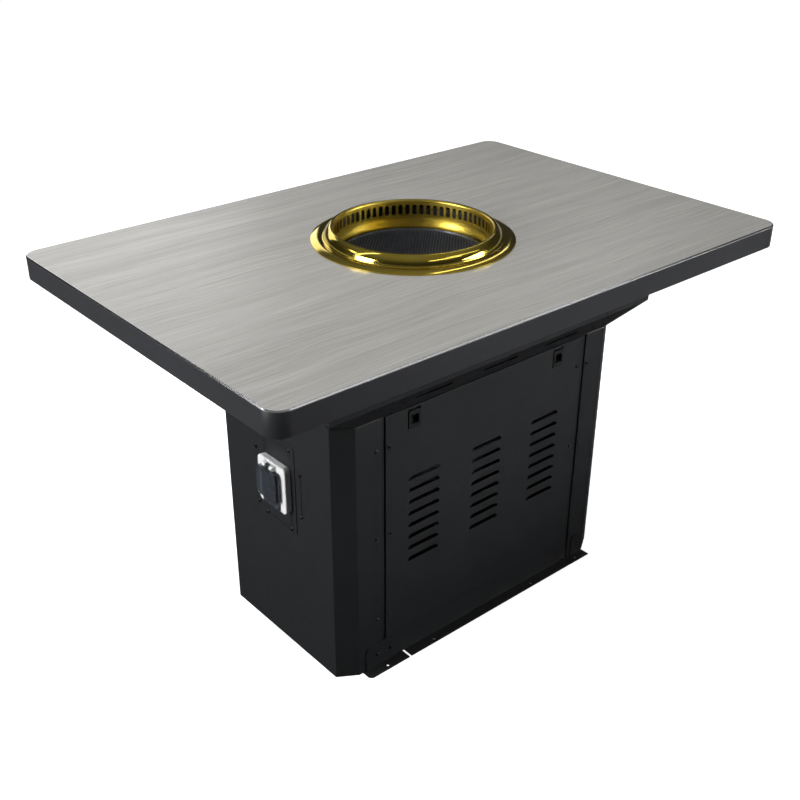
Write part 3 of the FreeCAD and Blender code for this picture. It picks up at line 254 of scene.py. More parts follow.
class Sockets:
    """Short names for a node tree's nodes and links."""

    def __init__(self, tree: NodeTree) -> None:
        """Keep the tree and clear what it holds."""
        self.tree = tree
        tree.nodes.clear()

    def node(self, kind: str, given: dict[str | int, object] | None = None,
             **values: object) -> Node:
        """Add a node, set its properties and feed its inputs.

        Args:
            kind: the node's type name.
            given: values or outputs for its inputs, by name or number.
            values: properties of the node by name.

        Returns:
            The node.
        """
        made = self.tree.nodes.new(kind)
        for name, value in values.items():
            setattr(made, name, value)
        for key, value in (given or {}).items():
            self.feed(made.inputs[key], value)
        return made

    def feed(self, socket: NodeSocket, value: object) -> None:
        """Link an output to an input, or set the input's own value; a colour may leave out its alpha."""
        if isinstance(value, NodeSocket):
            self.tree.links.new(value, socket)
        elif socket.type == "RGBA" and len(value) == 3:
            socket.default_value = (*value, 1.0)
        else:
            socket.default_value = value

    def maths(self, operation: str, first: object, second: object = 0.0) -> NodeSocket:
        """A Math node's result.

        Args:
            operation: the node's operation.
            first: a value or an output.
            second: a value or an output.

        Returns:
            The result's socket.
        """
        return self.node("ShaderNodeMath", {0: first, 1: second}, operation=operation).outputs[0]

    def total(self, *terms: tuple[object, object]) -> NodeSocket:
        """The sum of products.

        Args:
            terms: the two factors of each product, as values or outputs.

        Returns:
            The sum's socket.
        """
        products = [self.maths("MULTIPLY", first, second) for first, second in terms]
        return reduce(lambda sofar, product: self.maths("ADD", sofar, product), products)

    def ramp(self, value: object, low: float, high: float, start: float = 0.0,
             end: float = 1.0) -> NodeSocket:
        """A value mapped smoothly from one range to another and clamped.

        Args:
            value: the value to map.
            low: where the input range starts.
            high: where the input range ends.
            start: the result at low.
            end: the result at high.

        Returns:
            The result's socket.
        """
        return self.node("ShaderNodeMapRange", {0: value, 1: low, 2: high, 3: start, 4: end},
                         interpolation_type="SMOOTHSTEP").outputs[0]

    def mix(self, share: object, first: object, second: object,
            blend: str = "MIX") -> NodeSocket:
        """A colour between two colours.

        Args:
            share: how much of the second colour there is.
            first: the first colour.
            second: the second colour.
            blend: the way the colours are blended.

        Returns:
            The mixed colour's socket.
        """
        return self.node("ShaderNodeMix", {0: share, 6: first, 7: second},
                         data_type="RGBA", blend_type=blend).outputs[2]

    def noise(self, place: object, scale: object, detail: float = 3.0,
              roughness: float = 0.5) -> NodeSocket:
        """A noise texture's value.

        Args:
            place: the coordinates.
            scale: features per metre.
            detail: the number of octaves.
            roughness: how strong the finer octaves are.

        Returns:
            The value's socket.
        """
        return self.node("ShaderNodeTexNoise", {
            "Vector": place, "Scale": scale, "Detail": detail, "Roughness": roughness}).outputs["Fac"]

    def stretched(self, place: object, scale: Point) -> NodeSocket:
        """Coordinates scaled along each axis."""
        return self.node("ShaderNodeMapping", {"Vector": place, "Scale": scale}).outputs["Vector"]

    def split(self, place: object) -> list[NodeSocket]:
        """The X, Y and Z of coordinates."""
        return list(self.node("ShaderNodeSeparateXYZ", {0: place}).outputs)

    def flat(self, along: object, across: object) -> NodeSocket:
        """Coordinates of an X and a Y, with nothing for Z."""
        return self.node("ShaderNodeCombineXYZ", {0: along, 1: across}).outputs[0]

    def group(self, tree: NodeTree, **given: object) -> NodeOutputs:
        """A shared node group's outputs.

        Args:
            tree: the group.
            given: values or outputs for the group's inputs, by name.

        Returns:
            The outputs.
        """
        return self.node("ShaderNodeGroup", {name.capitalize(): value for name, value in given.items()},
                         node_tree=tree).outputs

    def to_camera(self, out: Node, others: Node, shown: Node) -> None:
        """Show one shader to the camera and another to all other rays.

        Args:
            out: the tree's output node.
            others: the shader that other rays meet.
            shown: the shader that the camera sees.
        """
        ray = self.node("ShaderNodeLightPath").outputs["Is Camera Ray"]
        choice = self.node("ShaderNodeMixShader", {0: ray, 1: others.outputs[0], 2: shown.outputs[0]})
        self.feed(out.inputs["Surface"], choice.outputs[0])


class Effects:
    """Shared surface effects, each built once as a node group."""

    def __init__(self) -> None:
        """Build all groups."""
        self.grain = self.make_grain()
        self.mottle = self.make_mottle()
        self.dust = self.make_dust()
        self.brushing = self.make_brushing()
        self.oak = self.make_oak()
        self.spangle = self.make_spangle()
        self.inside = self.make_inside()

    @staticmethod
    def shell(name: str, inputs: dict[str, float], outputs: Sequence[str]) -> tuple[
            Sockets, NodeOutputs, NodeInputs]:
        """An empty group that is given a place and some values.

        Args:
            name: the group's name.
            inputs: the values' defaults by name.
            outputs: the names of the values that it puts out.

        Returns:
            The group's pen, what the group is given and what it puts out.
        """
        tree = bpy.data.node_groups.new(name, "ShaderNodeTree")
        tree.interface.new_socket("Place", in_out="INPUT", socket_type="NodeSocketVector")
        for title, value in inputs.items():
            made = tree.interface.new_socket(title, in_out="INPUT", socket_type="NodeSocketFloat")
            made.default_value = value
        for title in outputs:
            tree.interface.new_socket(title, in_out="OUTPUT", socket_type="NodeSocketFloat")
        pen = Sockets(tree)
        return pen, pen.node("NodeGroupInput").outputs, pen.node("NodeGroupOutput").inputs

    def make_grain(self) -> NodeTree:
        """Orange peel of a sprayed or moulded surface: its height."""
        pen, given, made = self.shell("fine_grain", {"Scale": 900.0}, ["Height"])
        small = pen.noise(given["Place"], given["Scale"], 2.0)
        cells = pen.node("ShaderNodeTexVoronoi", {
            "Vector": given["Place"], "Scale": pen.maths("MULTIPLY", given["Scale"], 0.6)},
            feature="SMOOTH_F1")
        pen.feed(made["Height"], pen.total((small, 1.0), (cells.outputs["Distance"], 0.5)))
        return pen.tree

    def make_mottle(self) -> NodeTree:
        """Slow and quick change over a surface, from 0 to 1."""
        pen, given, made = self.shell("mottle", {"Scale": 6.0}, ["Share"])
        slow = pen.noise(given["Place"], given["Scale"], 5.0, 0.6)
        pen.feed(made["Share"], pen.ramp(slow, 0.3, 0.7))
        return pen.tree

    def make_dust(self) -> NodeTree:
        """Dust that lies on faces that look up, in patches."""
        pen, given, made = self.shell("dust", {"Amount": 0.3, "Scale": 38.0}, ["Mask"])
        normal = pen.node("ShaderNodeNewGeometry").outputs["Normal"]
        upward = pen.ramp(pen.split(normal)[2], 0.2, 0.95)
        specks = pen.ramp(pen.noise(given["Place"], given["Scale"], 6.0), 0.45, 0.75)
        lying = pen.maths("MULTIPLY", pen.maths("ADD", pen.maths("MULTIPLY", upward, 0.8), 0.2), specks)
        pen.feed(made["Mask"], pen.maths("MULTIPLY", lying, given["Amount"]))
        return pen.tree

    def make_brushing(self) -> NodeTree:
        """Fine parallel lines: a share from 0 to 1 along the place's first axis."""
        pen, given, made = self.shell("brushing", {"Scale": 60.0}, ["Share"])
        lines = pen.stretched(given["Place"], (0.6, 40.0, 40.0))
        pen.feed(made["Share"], pen.noise(lines, given["Scale"], 4.0))
        return pen.tree

    def make_oak(self) -> NodeTree:
        """Straight oak grain along X: bands, fibres, dark streaks, pores and their height."""
        pen, given, made = self.shell("oak_grain", {}, ["Bands", "Fibres", "Streaks", "Pores", "Height"])
        drift = pen.noise(pen.stretched(given["Place"], (1.4, 3.0, 1.0)), 1.6)
        along, across = pen.split(given["Place"])[:2]
        line = pen.flat(along, pen.maths("ADD", across, pen.maths("MULTIPLY", drift, 0.05)))
        wide, mid, fine, pore, streak = [
            pen.noise(pen.stretched(line, (length, width, 1.0)), scale, detail, roughness)
            for length, width, scale, detail, roughness in (
                (0.35, 12.0, 2.2, 4.0, 0.55), (0.9, 90.0, 2.4, 4.0, 0.6), (2.6, 420.0, 2.6, 3.0, 0.65),
                (14.0, 900.0, 1.4, 2.0, 0.5), (0.55, 60.0, 3.1, 5.0, 0.7))]
        pores = pen.ramp(pore, 0.60, 0.74)
        bands = pen.total((pen.ramp(wide, 0.3, 0.7), 0.40), (pen.ramp(mid, 0.28, 0.72), 0.60))
        pen.feed(made["Bands"], bands)
        pen.feed(made["Fibres"], pen.ramp(fine, 0.3, 0.7))
        pen.feed(made["Streaks"], pen.ramp(streak, 0.55, 0.66))
        pen.feed(made["Pores"], pores)
        pen.feed(made["Height"], pen.total((fine, 0.5), (pores, -0.8)))
        return pen.tree

    def make_spangle(self) -> NodeTree:
        """Zinc crystals of galvanised sheet: a random share for each crystal."""
        pen, given, made = self.shell("spangle", {"Scale": 140.0}, ["Share"])
        wander = pen.node("ShaderNodeTexNoise", {"Vector": given["Place"], "Scale": 90.0})
        moved = pen.node("ShaderNodeVectorMath", {
            0: wander.outputs["Color"], 1: (0.006, 0.006, 0.006), 2: given["Place"]},
            operation="MULTIPLY_ADD")
        cells = pen.node("ShaderNodeTexVoronoi", {"Vector": moved.outputs[0], "Scale": given["Scale"]})
        tints = pen.node("ShaderNodeSeparateColor", {0: cells.outputs["Color"]}).outputs
        pen.feed(made["Share"], tints[0])
        return pen.tree

    def make_inside(self) -> NodeTree:
        """Where a turned piece is nearer its axis than a radius, and fine marks that run round it."""
        pen, given, made = self.shell("inside_bore", {"Radius": 0.15, "Scale": 1200.0}, ["Mask", "Marks"])
        along, across, up = pen.split(given["Place"])
        span = pen.node("ShaderNodeVectorMath", {0: pen.flat(along, across)}, operation="LENGTH")
        pen.feed(made["Mask"], pen.maths("LESS_THAN", span.outputs["Value"], given["Radius"]))
        angle = pen.maths("ARCTAN2", across, along)
        unrolled = pen.flat(pen.maths("MULTIPLY", angle, 0.002), up)
        pen.feed(made["Marks"], pen.noise(unrolled, given["Scale"], 2.0))
        return pen.tree


@dataclass(frozen=True)
class Canvas:
    """A material's nodes that a finish is laid on."""

    pen: Sockets
    shader: Node
    place: NodeSocket
    effects: Effects

    def dress(self, colour: object, roughness: object, height: object, strength: float,
              depth: float = 0.0004) -> None:
        """Link the colour, the roughness and a bump to the shader.

        Args:
            colour: the base colour.
            roughness: the roughness.
            height: the bump's height.
            strength: the bump's strength.
            depth: the bump's depth in metres.
        """
        bump = self.pen.node("ShaderNodeBump", {"Strength": strength, "Distance": depth, "Height": height})
        self.pen.feed(self.shader.inputs["Base Color"], colour)
        self.pen.feed(self.shader.inputs["Roughness"], roughness)
        self.pen.feed(self.shader.inputs["Normal"], bump.outputs["Normal"])


@dataclass(frozen=True)
class Finish:
    """A sprayed, moulded or cast finish with mottling, fine grain and dust."""

    name: str
    colour: Colour
    shade: Colour
    roughness: float
    roughness_spread: float = 0.06
    metallic: float = 0.0
    mottle: float = 5.0
    grain: float = 900.0
    bump: float = 0.05
    dust: float = 0.0
    dust_colour: Colour = (0.35, 0.34, 0.32)
    dust_roughness: float = 0.3
    coat: float = 0.0
    coat_roughness: float = 0.1
    specular: float = 0.5

    def make(self, effects: Effects) -> Material:
        """Build the material.

        Args:
            effects: the shared groups.

        Returns:
            The material.
        """
        made = bpy.data.materials.new(self.name)
        made.use_nodes = True
        pen = Sockets(made.node_tree)
        shader = pen.node("ShaderNodeBsdfPrincipled", {
            "Metallic": self.metallic, "Coat Weight": self.coat, "Coat Roughness": self.coat_roughness,
            "Specular IOR Level": self.specular})
        pen.node("ShaderNodeOutputMaterial", {"Surface": shader.outputs["BSDF"]})
        place = pen.node("ShaderNodeTexCoord").outputs["Object"]
        self.paint(Canvas(pen, shader, place, effects))
        return made

    def mottled(self, on: Canvas) -> NodeSocket:
        """A slow share from 0 to 1 over the surface."""
        return on.pen.group(on.effects.mottle, place=on.place, scale=self.mottle)["Share"]

    def grained(self, on: Canvas) -> NodeSocket:
        """The height of the surface's fine grain."""
        return on.pen.group(on.effects.grain, place=on.place, scale=self.grain)["Height"]

    def rough(self, on: Canvas, share: object) -> NodeSocket:
        """The roughness, spread round its middle by a share."""
        return on.pen.ramp(share, 0.0, 1.0, self.roughness - self.roughness_spread,
                           self.roughness + self.roughness_spread)

    def paint(self, on: Canvas) -> None:
        """Lay the finish on a material.

        Args:
            on: the material's nodes.
        """
        share = self.mottled(on)
        colour = on.pen.mix(share, self.colour, self.shade)
        rough = self.rough(on, share)
        if self.dust:
            mask = on.pen.group(on.effects.dust, place=on.place, amount=self.dust)["Mask"]
            colour = on.pen.mix(mask, colour, self.dust_colour)
            rough = on.pen.maths("ADD", rough, on.pen.maths("MULTIPLY", mask, self.dust_roughness))
        on.dress(colour, rough, self.grained(on), self.bump)


@dataclass(frozen=True)
class OakFinish(Finish):
    """Grey oak laminate with its grain along the table."""

    pore: Colour = (0.10, 0.093, 0.085)
    fibre_tones: Pair = (0.77, 1.13)
    streak_share: float = 0.30
    pore_share: float = 0.55
    relief: float = 0.0003

    def paint(self, on: Canvas) -> None:
        """Lay the finish on a material.

        Args:
            on: the material's nodes.
        """
        pen = on.pen
        oak = pen.group(on.effects.oak, place=on.place)
        colour = pen.mix(oak["Bands"], self.colour, self.shade)
        fibres = pen.ramp(oak["Fibres"], 0.0, 1.0, *self.fibre_tones)
        tint = pen.node("ShaderNodeCombineColor", {0: fibres, 1: fibres, 2: fibres})
        colour = pen.mix(1.0, colour, tint.outputs[0], "MULTIPLY")
        colour = pen.mix(pen.maths("MULTIPLY", oak["Streaks"], self.streak_share), colour, self.pore)
        colour = pen.mix(pen.maths("MULTIPLY", oak["Pores"], self.pore_share), colour, self.pore)
        on.dress(colour, self.rough(on, oak["Bands"]), oak["Height"], self.bump, self.relief)


@dataclass(frozen=True)
class SheetFinish(Finish):
    """Galvanised or brushed metal with crystals or lines."""

    metallic: float = 1.0
    lines: float = 0.0
    spangles: float = 0.0
    relief: float = 0.0001

    def paint(self, on: Canvas) -> None:
        """Lay the finish on a material.

        Args:
            on: the material's nodes.
        """
        pen = on.pen
        fine = pen.group(on.effects.brushing, place=on.place)["Share"]
        cells = pen.group(on.effects.spangle, place=on.place, scale=self.grain)["Share"]
        detail = pen.total((fine, self.lines), (cells, self.spangles))
        share = pen.total((self.mottled(on), 1.0 - self.lines - self.spangles), (detail, 1.0))
        colour = pen.mix(share, self.colour, self.shade)
        on.dress(colour, self.rough(on, share), detail, self.bump, self.relief)


@dataclass(frozen=True)
class RingFinish(Finish):
    """Polished metal that is only brushed inside the ring, round the Z axis."""

    metallic: float = 1.0
    bore: float = 0.1535
    brushed: Pair = (0.26, 0.42)

    def paint(self, on: Canvas) -> None:
        """Lay the finish on a material.

        Args:
            on: the material's nodes.
        """
        pen = on.pen
        share = self.mottled(on)
        inside = pen.group(on.effects.inside, place=on.place, radius=self.bore)
        mask = inside["Mask"]
        dull = pen.ramp(inside["Marks"], 0.3, 0.7, *self.brushed)
        rough = pen.total((dull, mask), (self.rough(on, share), pen.maths("SUBTRACT", 1.0, mask)))
        on.dress(pen.mix(share, self.colour, self.shade), rough, self.grained(on), self.bump)


@dataclass(frozen=True)
class ClearFinish(Finish):
    """Smoked clear moulding with a little haze."""

    transmission: float = 0.9
    refraction: float = 1.49
    clearest: float = 0.02

    def paint(self, on: Canvas) -> None:
        """Lay the finish on a material.

        Args:
            on: the material's nodes.
        """
        share = self.mottled(on)
        on.shader.inputs["Transmission Weight"].default_value = self.transmission
        on.shader.inputs["IOR"].default_value = self.refraction
        rough = on.pen.ramp(share, 0.0, 1.0, self.clearest, self.roughness)
        on.dress(on.pen.mix(share, self.colour, self.shade), rough, self.grained(on), self.bump)


FINISHES: dict[str, Finish] = {
    "oak": OakFinish("grey_oak_laminate", (0.226, 0.222, 0.210), (0.158, 0.155, 0.145), 0.38, 0.05,
                     bump=0.12),
    "board": Finish("chipboard_core", (0.30, 0.23, 0.15), (0.21, 0.15, 0.10), 0.75, grain=500.0,
                    bump=0.4, dust=0.2),
    "edge": Finish("charcoal_edge_band", (0.027, 0.028, 0.031), (0.021, 0.0215, 0.024), 0.36, 0.04,
                   grain=1400.0, bump=0.06, dust=0.03, coat=0.2, coat_roughness=0.3, specular=0.4),
    "trim": SheetFinish("bright_trim", (0.62, 0.62, 0.63), (0.46, 0.46, 0.47), 0.18, 0.05, lines=0.5),
    "coat": Finish("charcoal_powder_coat", (0.0150, 0.0158, 0.0170), (0.0112, 0.0118, 0.0128), 0.40, 0.05,
                   grain=1500.0, bump=0.14, dust=0.015, specular=0.32),
    "gold": RingFinish("polished_gold_tone", (0.60, 0.46, 0.085), (0.51, 0.38, 0.055), 0.11, 0.03,
                       mottle=9.0, grain=2200.0, bump=0.006),
    "wire": SheetFinish("woven_steel_wire", (0.21, 0.225, 0.255), (0.10, 0.108, 0.125), 0.42, 0.08,
                        lines=0.5, bump=0.1),
    "cast": Finish("cast_iron", (0.020, 0.019, 0.018), (0.011, 0.010, 0.010), 0.6, 0.1, metallic=0.4,
                   grain=420.0, bump=0.5, dust=0.08),
    "zinc": SheetFinish("galvanised_sheet", (0.32, 0.333, 0.345), (0.21, 0.222, 0.235), 0.40, 0.10,
                        grain=120.0, lines=0.1, spangles=0.6, bump=0.08),
    "soot": SheetFinish("heat_tinted_steel", (0.20, 0.185, 0.17), (0.08, 0.073, 0.066), 0.42, 0.10,
                        grain=90.0, lines=0.3, bump=0.1),
    "mill": SheetFinish("mill_aluminium", (0.62, 0.63, 0.64), (0.48, 0.49, 0.50), 0.34, 0.08,
                        lines=0.6, bump=0.08),
    "motor": Finish("motor_enamel", (0.055, 0.06, 0.068), (0.040, 0.045, 0.050), 0.4, grain=700.0,
                    bump=0.15, dust=0.15),
    "case": Finish("grey_moulding", (0.36, 0.37, 0.38), (0.30, 0.31, 0.32), 0.5, grain=1100.0,
                   bump=0.1, dust=0.12),
    "latch": Finish("black_moulding", (0.0060, 0.0060, 0.0064), (0.0042, 0.0042, 0.0046), 0.38, 0.05,
                    grain=1300.0, bump=0.12, dust=0.01, specular=0.4),
    "gasket": Finish("gasket_rubber", (0.020, 0.020, 0.020), (0.014, 0.014, 0.014), 0.8,
                     grain=800.0, bump=0.3, dust=0.05),
    "white": Finish("white_moulding", (0.74, 0.745, 0.75), (0.66, 0.665, 0.67), 0.28, 0.04,
                    grain=1200.0, bump=0.04, dust=0.03, coat=0.3, coat_roughness=0.12),
    "blue": Finish("blue_moulding", (0.020, 0.060, 0.13), (0.014, 0.045, 0.10), 0.3, 0.04,
                   grain=1200.0, dust=0.03, coat=0.2),
    "smoke": ClearFinish("smoked_cover", (0.24, 0.265, 0.30), (0.19, 0.215, 0.25), 0.09, 0.04,
                         grain=300.0, bump=0.02),
    "screw": SheetFinish("black_zinc_screw", (0.085, 0.085, 0.090), (0.045, 0.045, 0.050), 0.30, 0.08,
                         lines=0.3),
    "pin": SheetFinish("bright_pin", (0.60, 0.60, 0.61), (0.46, 0.46, 0.47), 0.28, 0.08, lines=0.4),
}

NODE_FINISHES: dict[str, tuple[str, ...]] = {
    "oak": ("laminate_sheet",),
    "board": ("table_board",),
    "edge": ("edge_band", "edge_strip_front", "edge_strip_rear", "edge_strip_left", "edge_strip_right"),
    "trim": ("edge_trim",),
    "coat": ("hood_left_end", "hood_right_end", "hood_front_cover", "hood_rear_cover", "left_end_shell",
             "right_end_shell", "rear_panel", "base_rail", "jamb_left", "jamb_right", "service_panel",
             "foot_bracket_left", "foot_bracket_right", "access_plate", "header_rail", "base_pan"),
    "gold": ("grill_ring",),
    "wire": ("mesh_plate",),
    "cast": ("fire_bowl",),
    "soot": ("exhaust_jacket", "bowl_stand", "duct_collar"),
    "zinc": ("purifier_case", "filter_cell", "oil_tray", "purifier_shelf", "blower_scroll",
             "top_rail_front", "top_rail_rear", "top_rail_left", "top_rail_right",
             "stiffener_left", "stiffener_right"),
    "mill": ("impeller",),
    "motor": ("blower_motor",),
    "case": ("control_box",),
    "latch": ("latch_housing_left", "latch_housing_right", "latch_slider_left", "latch_slider_right"),
    "gasket": ("switch_gasket",),
    "white": ("switch_base",),
    "blue": ("switch_module", "switch_rocker"),
    "smoke": ("flip_cover",),
    "pin": ("cover_hinge_pin",),
    "screw": ("column_screws", "panel_screws", "access_plate_screws",
              "end_shell_screws", "rear_panel_screws", "foot_screws"),
}


@dataclass
class Softener:
    """Soft edges on the folded and moulded parts, by live modifiers."""

    widths: dict[str, float] = field(default_factory=lambda: {
        "coat": 0.0005, "edge": 0.0008, "white": 0.0006, "latch": 0.0003, "blue": 0.0004,
        "smoke": 0.0004, "case": 0.001, "zinc": 0.0003})

    def soften(self, node: Object, finish: str) -> None:
        """Weld a part's mesh and bevel its sharp edges.

        Args:
            node: the part.
            finish: the part's finish, which sets the bevel's width.
        """
        width = self.widths.get(finish)
        if width is None:
            return
        weld = node.modifiers.new("weld", "WELD")
        weld.merge_threshold = 1e-6
        bevel = node.modifiers.new("soft_edges", "BEVEL")
        bevel.width = width
        bevel.segments = 2
        bevel.limit_method = "ANGLE"
        bevel.angle_limit = math.radians(40)
        bevel.harden_normals = False


@dataclass
class GrillRing:
    """The gold ring, turned finely, with its slotted smoke wall."""

    inner: float = 0.150
    outer: float = 0.193
    top: float = 0.750
    rise: float = 0.025
    wall: float = 0.002
    bead_top: float = 0.728
    bead_low: float = 0.725
    foot: float = 0.716
    throat: float = 0.148
    segments: int = 272
    slot_count: int = 68
    slot_width: float = 0.009
    slot_low: float = 0.744
    slot_high: float = 0.765
    slot_margin: float = 0.001
    seat: float = 0.0003
    outline: tuple[Point, ...] = (
        (1.0, 0.092, 270), (0.837, 0.19, 262), (0.628, 0.25, 268),
        (0.512, 0.2, 245), (0.456, 0.228, 225), (0.426, 0.34, 190),
        (0.372, 0.64, 203), (0.209, 0.928, 234),
        (0.149, 0.985, 252), (0.093, 1.0, 270), (0.025, 0.956, 315), (0.0, 0.84, 360),
    )

    @staticmethod
    def arc(first: Pair, middle: Pair, last: Pair, steps: int) -> list[Pair]:
        """Points on a circle through three points, without the first.

        Args:
            first: where the arc starts.
            middle: a point on the arc.
            last: where the arc ends.
            steps: the number of runs.

        Returns:
            The points.
        """
        start, halfway, end = complex(*first), complex(*middle), complex(*last)
        ratio = (end - start) / (halfway - start)
        centre = start + (halfway - start) * (ratio - abs(ratio) ** 2) / (2j * ratio.imag)
        arm = start - centre
        whole = cmath.phase((halfway - centre) / arm) + cmath.phase((end - centre) / (halfway - centre))
        points = [centre + arm * cmath.exp(1j * whole * step / steps) for step in range(1, steps + 1)]
        return [(point.real, point.imag) for point in points]

    def profile(self) -> list[Pair]:
        """The ring's closed section.

        Returns:
            Points of radius and height.
        """
        span = self.outer - self.inner
        skin, back = [], []
        for out_share, rise_share, angle in self.outline:
            radius = self.inner + out_share * span
            height = self.top + rise_share * self.rise
            lean = math.radians(angle)
            skin.append((radius, height))
            back.append((radius + self.wall * math.cos(lean), height + self.wall * math.sin(lean)))
        back[0] = (self.outer, self.top + self.seat)
        points = [skin[0]] + self.arc(*skin[:3], 8) + [skin[3]] + self.arc(*skin[3:6], 8) + skin[6:8]
        points += self.arc(*skin[7:10], 6) + self.arc(*skin[9:], 8)
        inside = [(self.inner, self.slot_high + self.slot_margin),
                  (self.inner, self.slot_low - self.slot_margin), (self.inner, self.bead_top),
                  (self.throat, self.bead_low), (self.throat, self.foot)]
        points += inside + [(radius + self.wall, height) for radius, height in reversed(inside)]
        back.reverse()
        points += [back[0]] + self.arc(*back[:3], 6) + self.arc(*back[2:5], 4) + back[5:7]
        points += self.arc(*back[6:9], 5) + [back[9]] + self.arc(*back[9:], 5)
        return points

    def slots(self) -> Object:
        """Cutters for all the slots.

        Returns:
            One object with a cutter for each slot.
        """
        radius = self.slot_width / 2
        middle = self.inner + self.wall / 2
        bpy.ops.mesh.primitive_cylinder_add(
            vertices=20, radius=radius, depth=self.wall * 3,
            location=(middle, 0, self.slot_low + radius), rotation=(0, math.pi / 2, 0))
        cutter = Workbench.fresh("slot_cutters")
        bpy.ops.object.mode_set(mode="EDIT")
        level = self.slot_low + radius
        Workbench.pick(cutter, lambda co: co.z > level + 1e-5)
        bpy.ops.transform.translate(value=(0, 0, self.slot_high - self.slot_low - self.slot_width))
        bpy.ops.mesh.select_all(action="SELECT")
        bpy.ops.mesh.spin(steps=self.slot_count, dupli=True, angle=2 * math.pi, center=(0, 0, 0),
                          axis=(0, 0, 1))
        bpy.ops.mesh.select_all(action="SELECT")
        bpy.ops.mesh.remove_doubles(threshold=1e-6)
        bpy.ops.mesh.normals_make_consistent(inside=False)
        bpy.ops.object.mode_set(mode="OBJECT")
        return cutter

    def build(self, finish: Material) -> Object:
        """Make the ring in place of the plain one.

        Args:
            finish: the ring's material.

        Returns:
            The ring.
        """
        ring = Workbench.turned("grill_ring_turned", self.profile(), self.segments)
        Workbench.cut(ring, self.slots())
        Workbench.outward(ring, 38.0)
        Workbench.paint(ring, finish)
        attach(ring, Body.RING.value)
        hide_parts("grill_ring")
        return ring


@dataclass
class GrillMesh:
    """Woven wire inside a rolled rim."""

    radius: float = 0.143
    rim: float = 0.0025
    base: float = 0.7158
    height: float = 0.0040
    pitch: float = 0.0056
    wire: float = 0.0014
    wave: float = 0.0004
    rim_segments: int = 144

    def weave(self) -> Object:
        """The wires, crossing over and under each other.

        Returns:
            The woven disc.
        """
        count = int(2 * self.radius / self.pitch) + 2
        level = self.base + self.wire + self.wave
        bpy.ops.mesh.primitive_grid_add(x_subdivisions=count, y_subdivisions=count,
                                        size=count * self.pitch, location=(0, 0, level),
                                        rotation=(0, 0, math.pi / 4))
        disc = Workbench.fresh("mesh_weave")
        row = count + 1
        bpy.ops.object.mode_set(mode="EDIT")
        bpy.ops.mesh.select_mode(type="VERT")
        bpy.ops.mesh.select_all(action="DESELECT")
        bpy.ops.object.mode_set(mode="OBJECT")
        for vertex in disc.data.vertices:
            vertex.select = (vertex.index // row + vertex.index % row) % 2 == 0
        bpy.ops.object.mode_set(mode="EDIT")
        bpy.ops.transform.translate(value=(0, 0, self.wave))
        edge = self.radius - self.rim - self.pitch / 2
        Workbench.pick(disc, lambda co: math.hypot(co.x, co.y) > edge, "FACE")
        bpy.ops.mesh.delete(type="FACE")
        bpy.ops.object.mode_set(mode="OBJECT")
        wires = disc.modifiers.new("wires", "WIREFRAME")
        wires.thickness = self.wire
        wires.use_replace = True
        wires.use_even_offset = False
        Workbench.finish_modifiers(disc)
        return disc

    def build(self, finish: Material) -> Object:
        """Make the mesh in place of the plain plate.

        Args:
            finish: the wire's material.

        Returns:
            The mesh with its rim.
        """
        pieces = [self.weave()]
        thick = self.height / 2
        rims = (("mesh_rim", self.radius - thick, thick, 14, thick),
                ("mesh_inner_rim", self.radius - self.height - self.rim, self.rim / 2, 8,
                 self.wire + self.wave))
        for name, major, minor, steps, lift in rims:
            bpy.ops.mesh.primitive_torus_add(
                major_radius=major, minor_radius=minor, major_segments=self.rim_segments,
                minor_segments=steps, location=(0, 0, self.base + lift))
            pieces.append(Workbench.fresh(name))
        made = Workbench.join(pieces, "grill_mesh_woven")
        Workbench.take(made)
        bpy.ops.object.shade_smooth_by_angle(angle=math.radians(50))
        Workbench.paint(made, finish)
        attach(made, Body.MESH.value)
        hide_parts("mesh_plate")
        return made


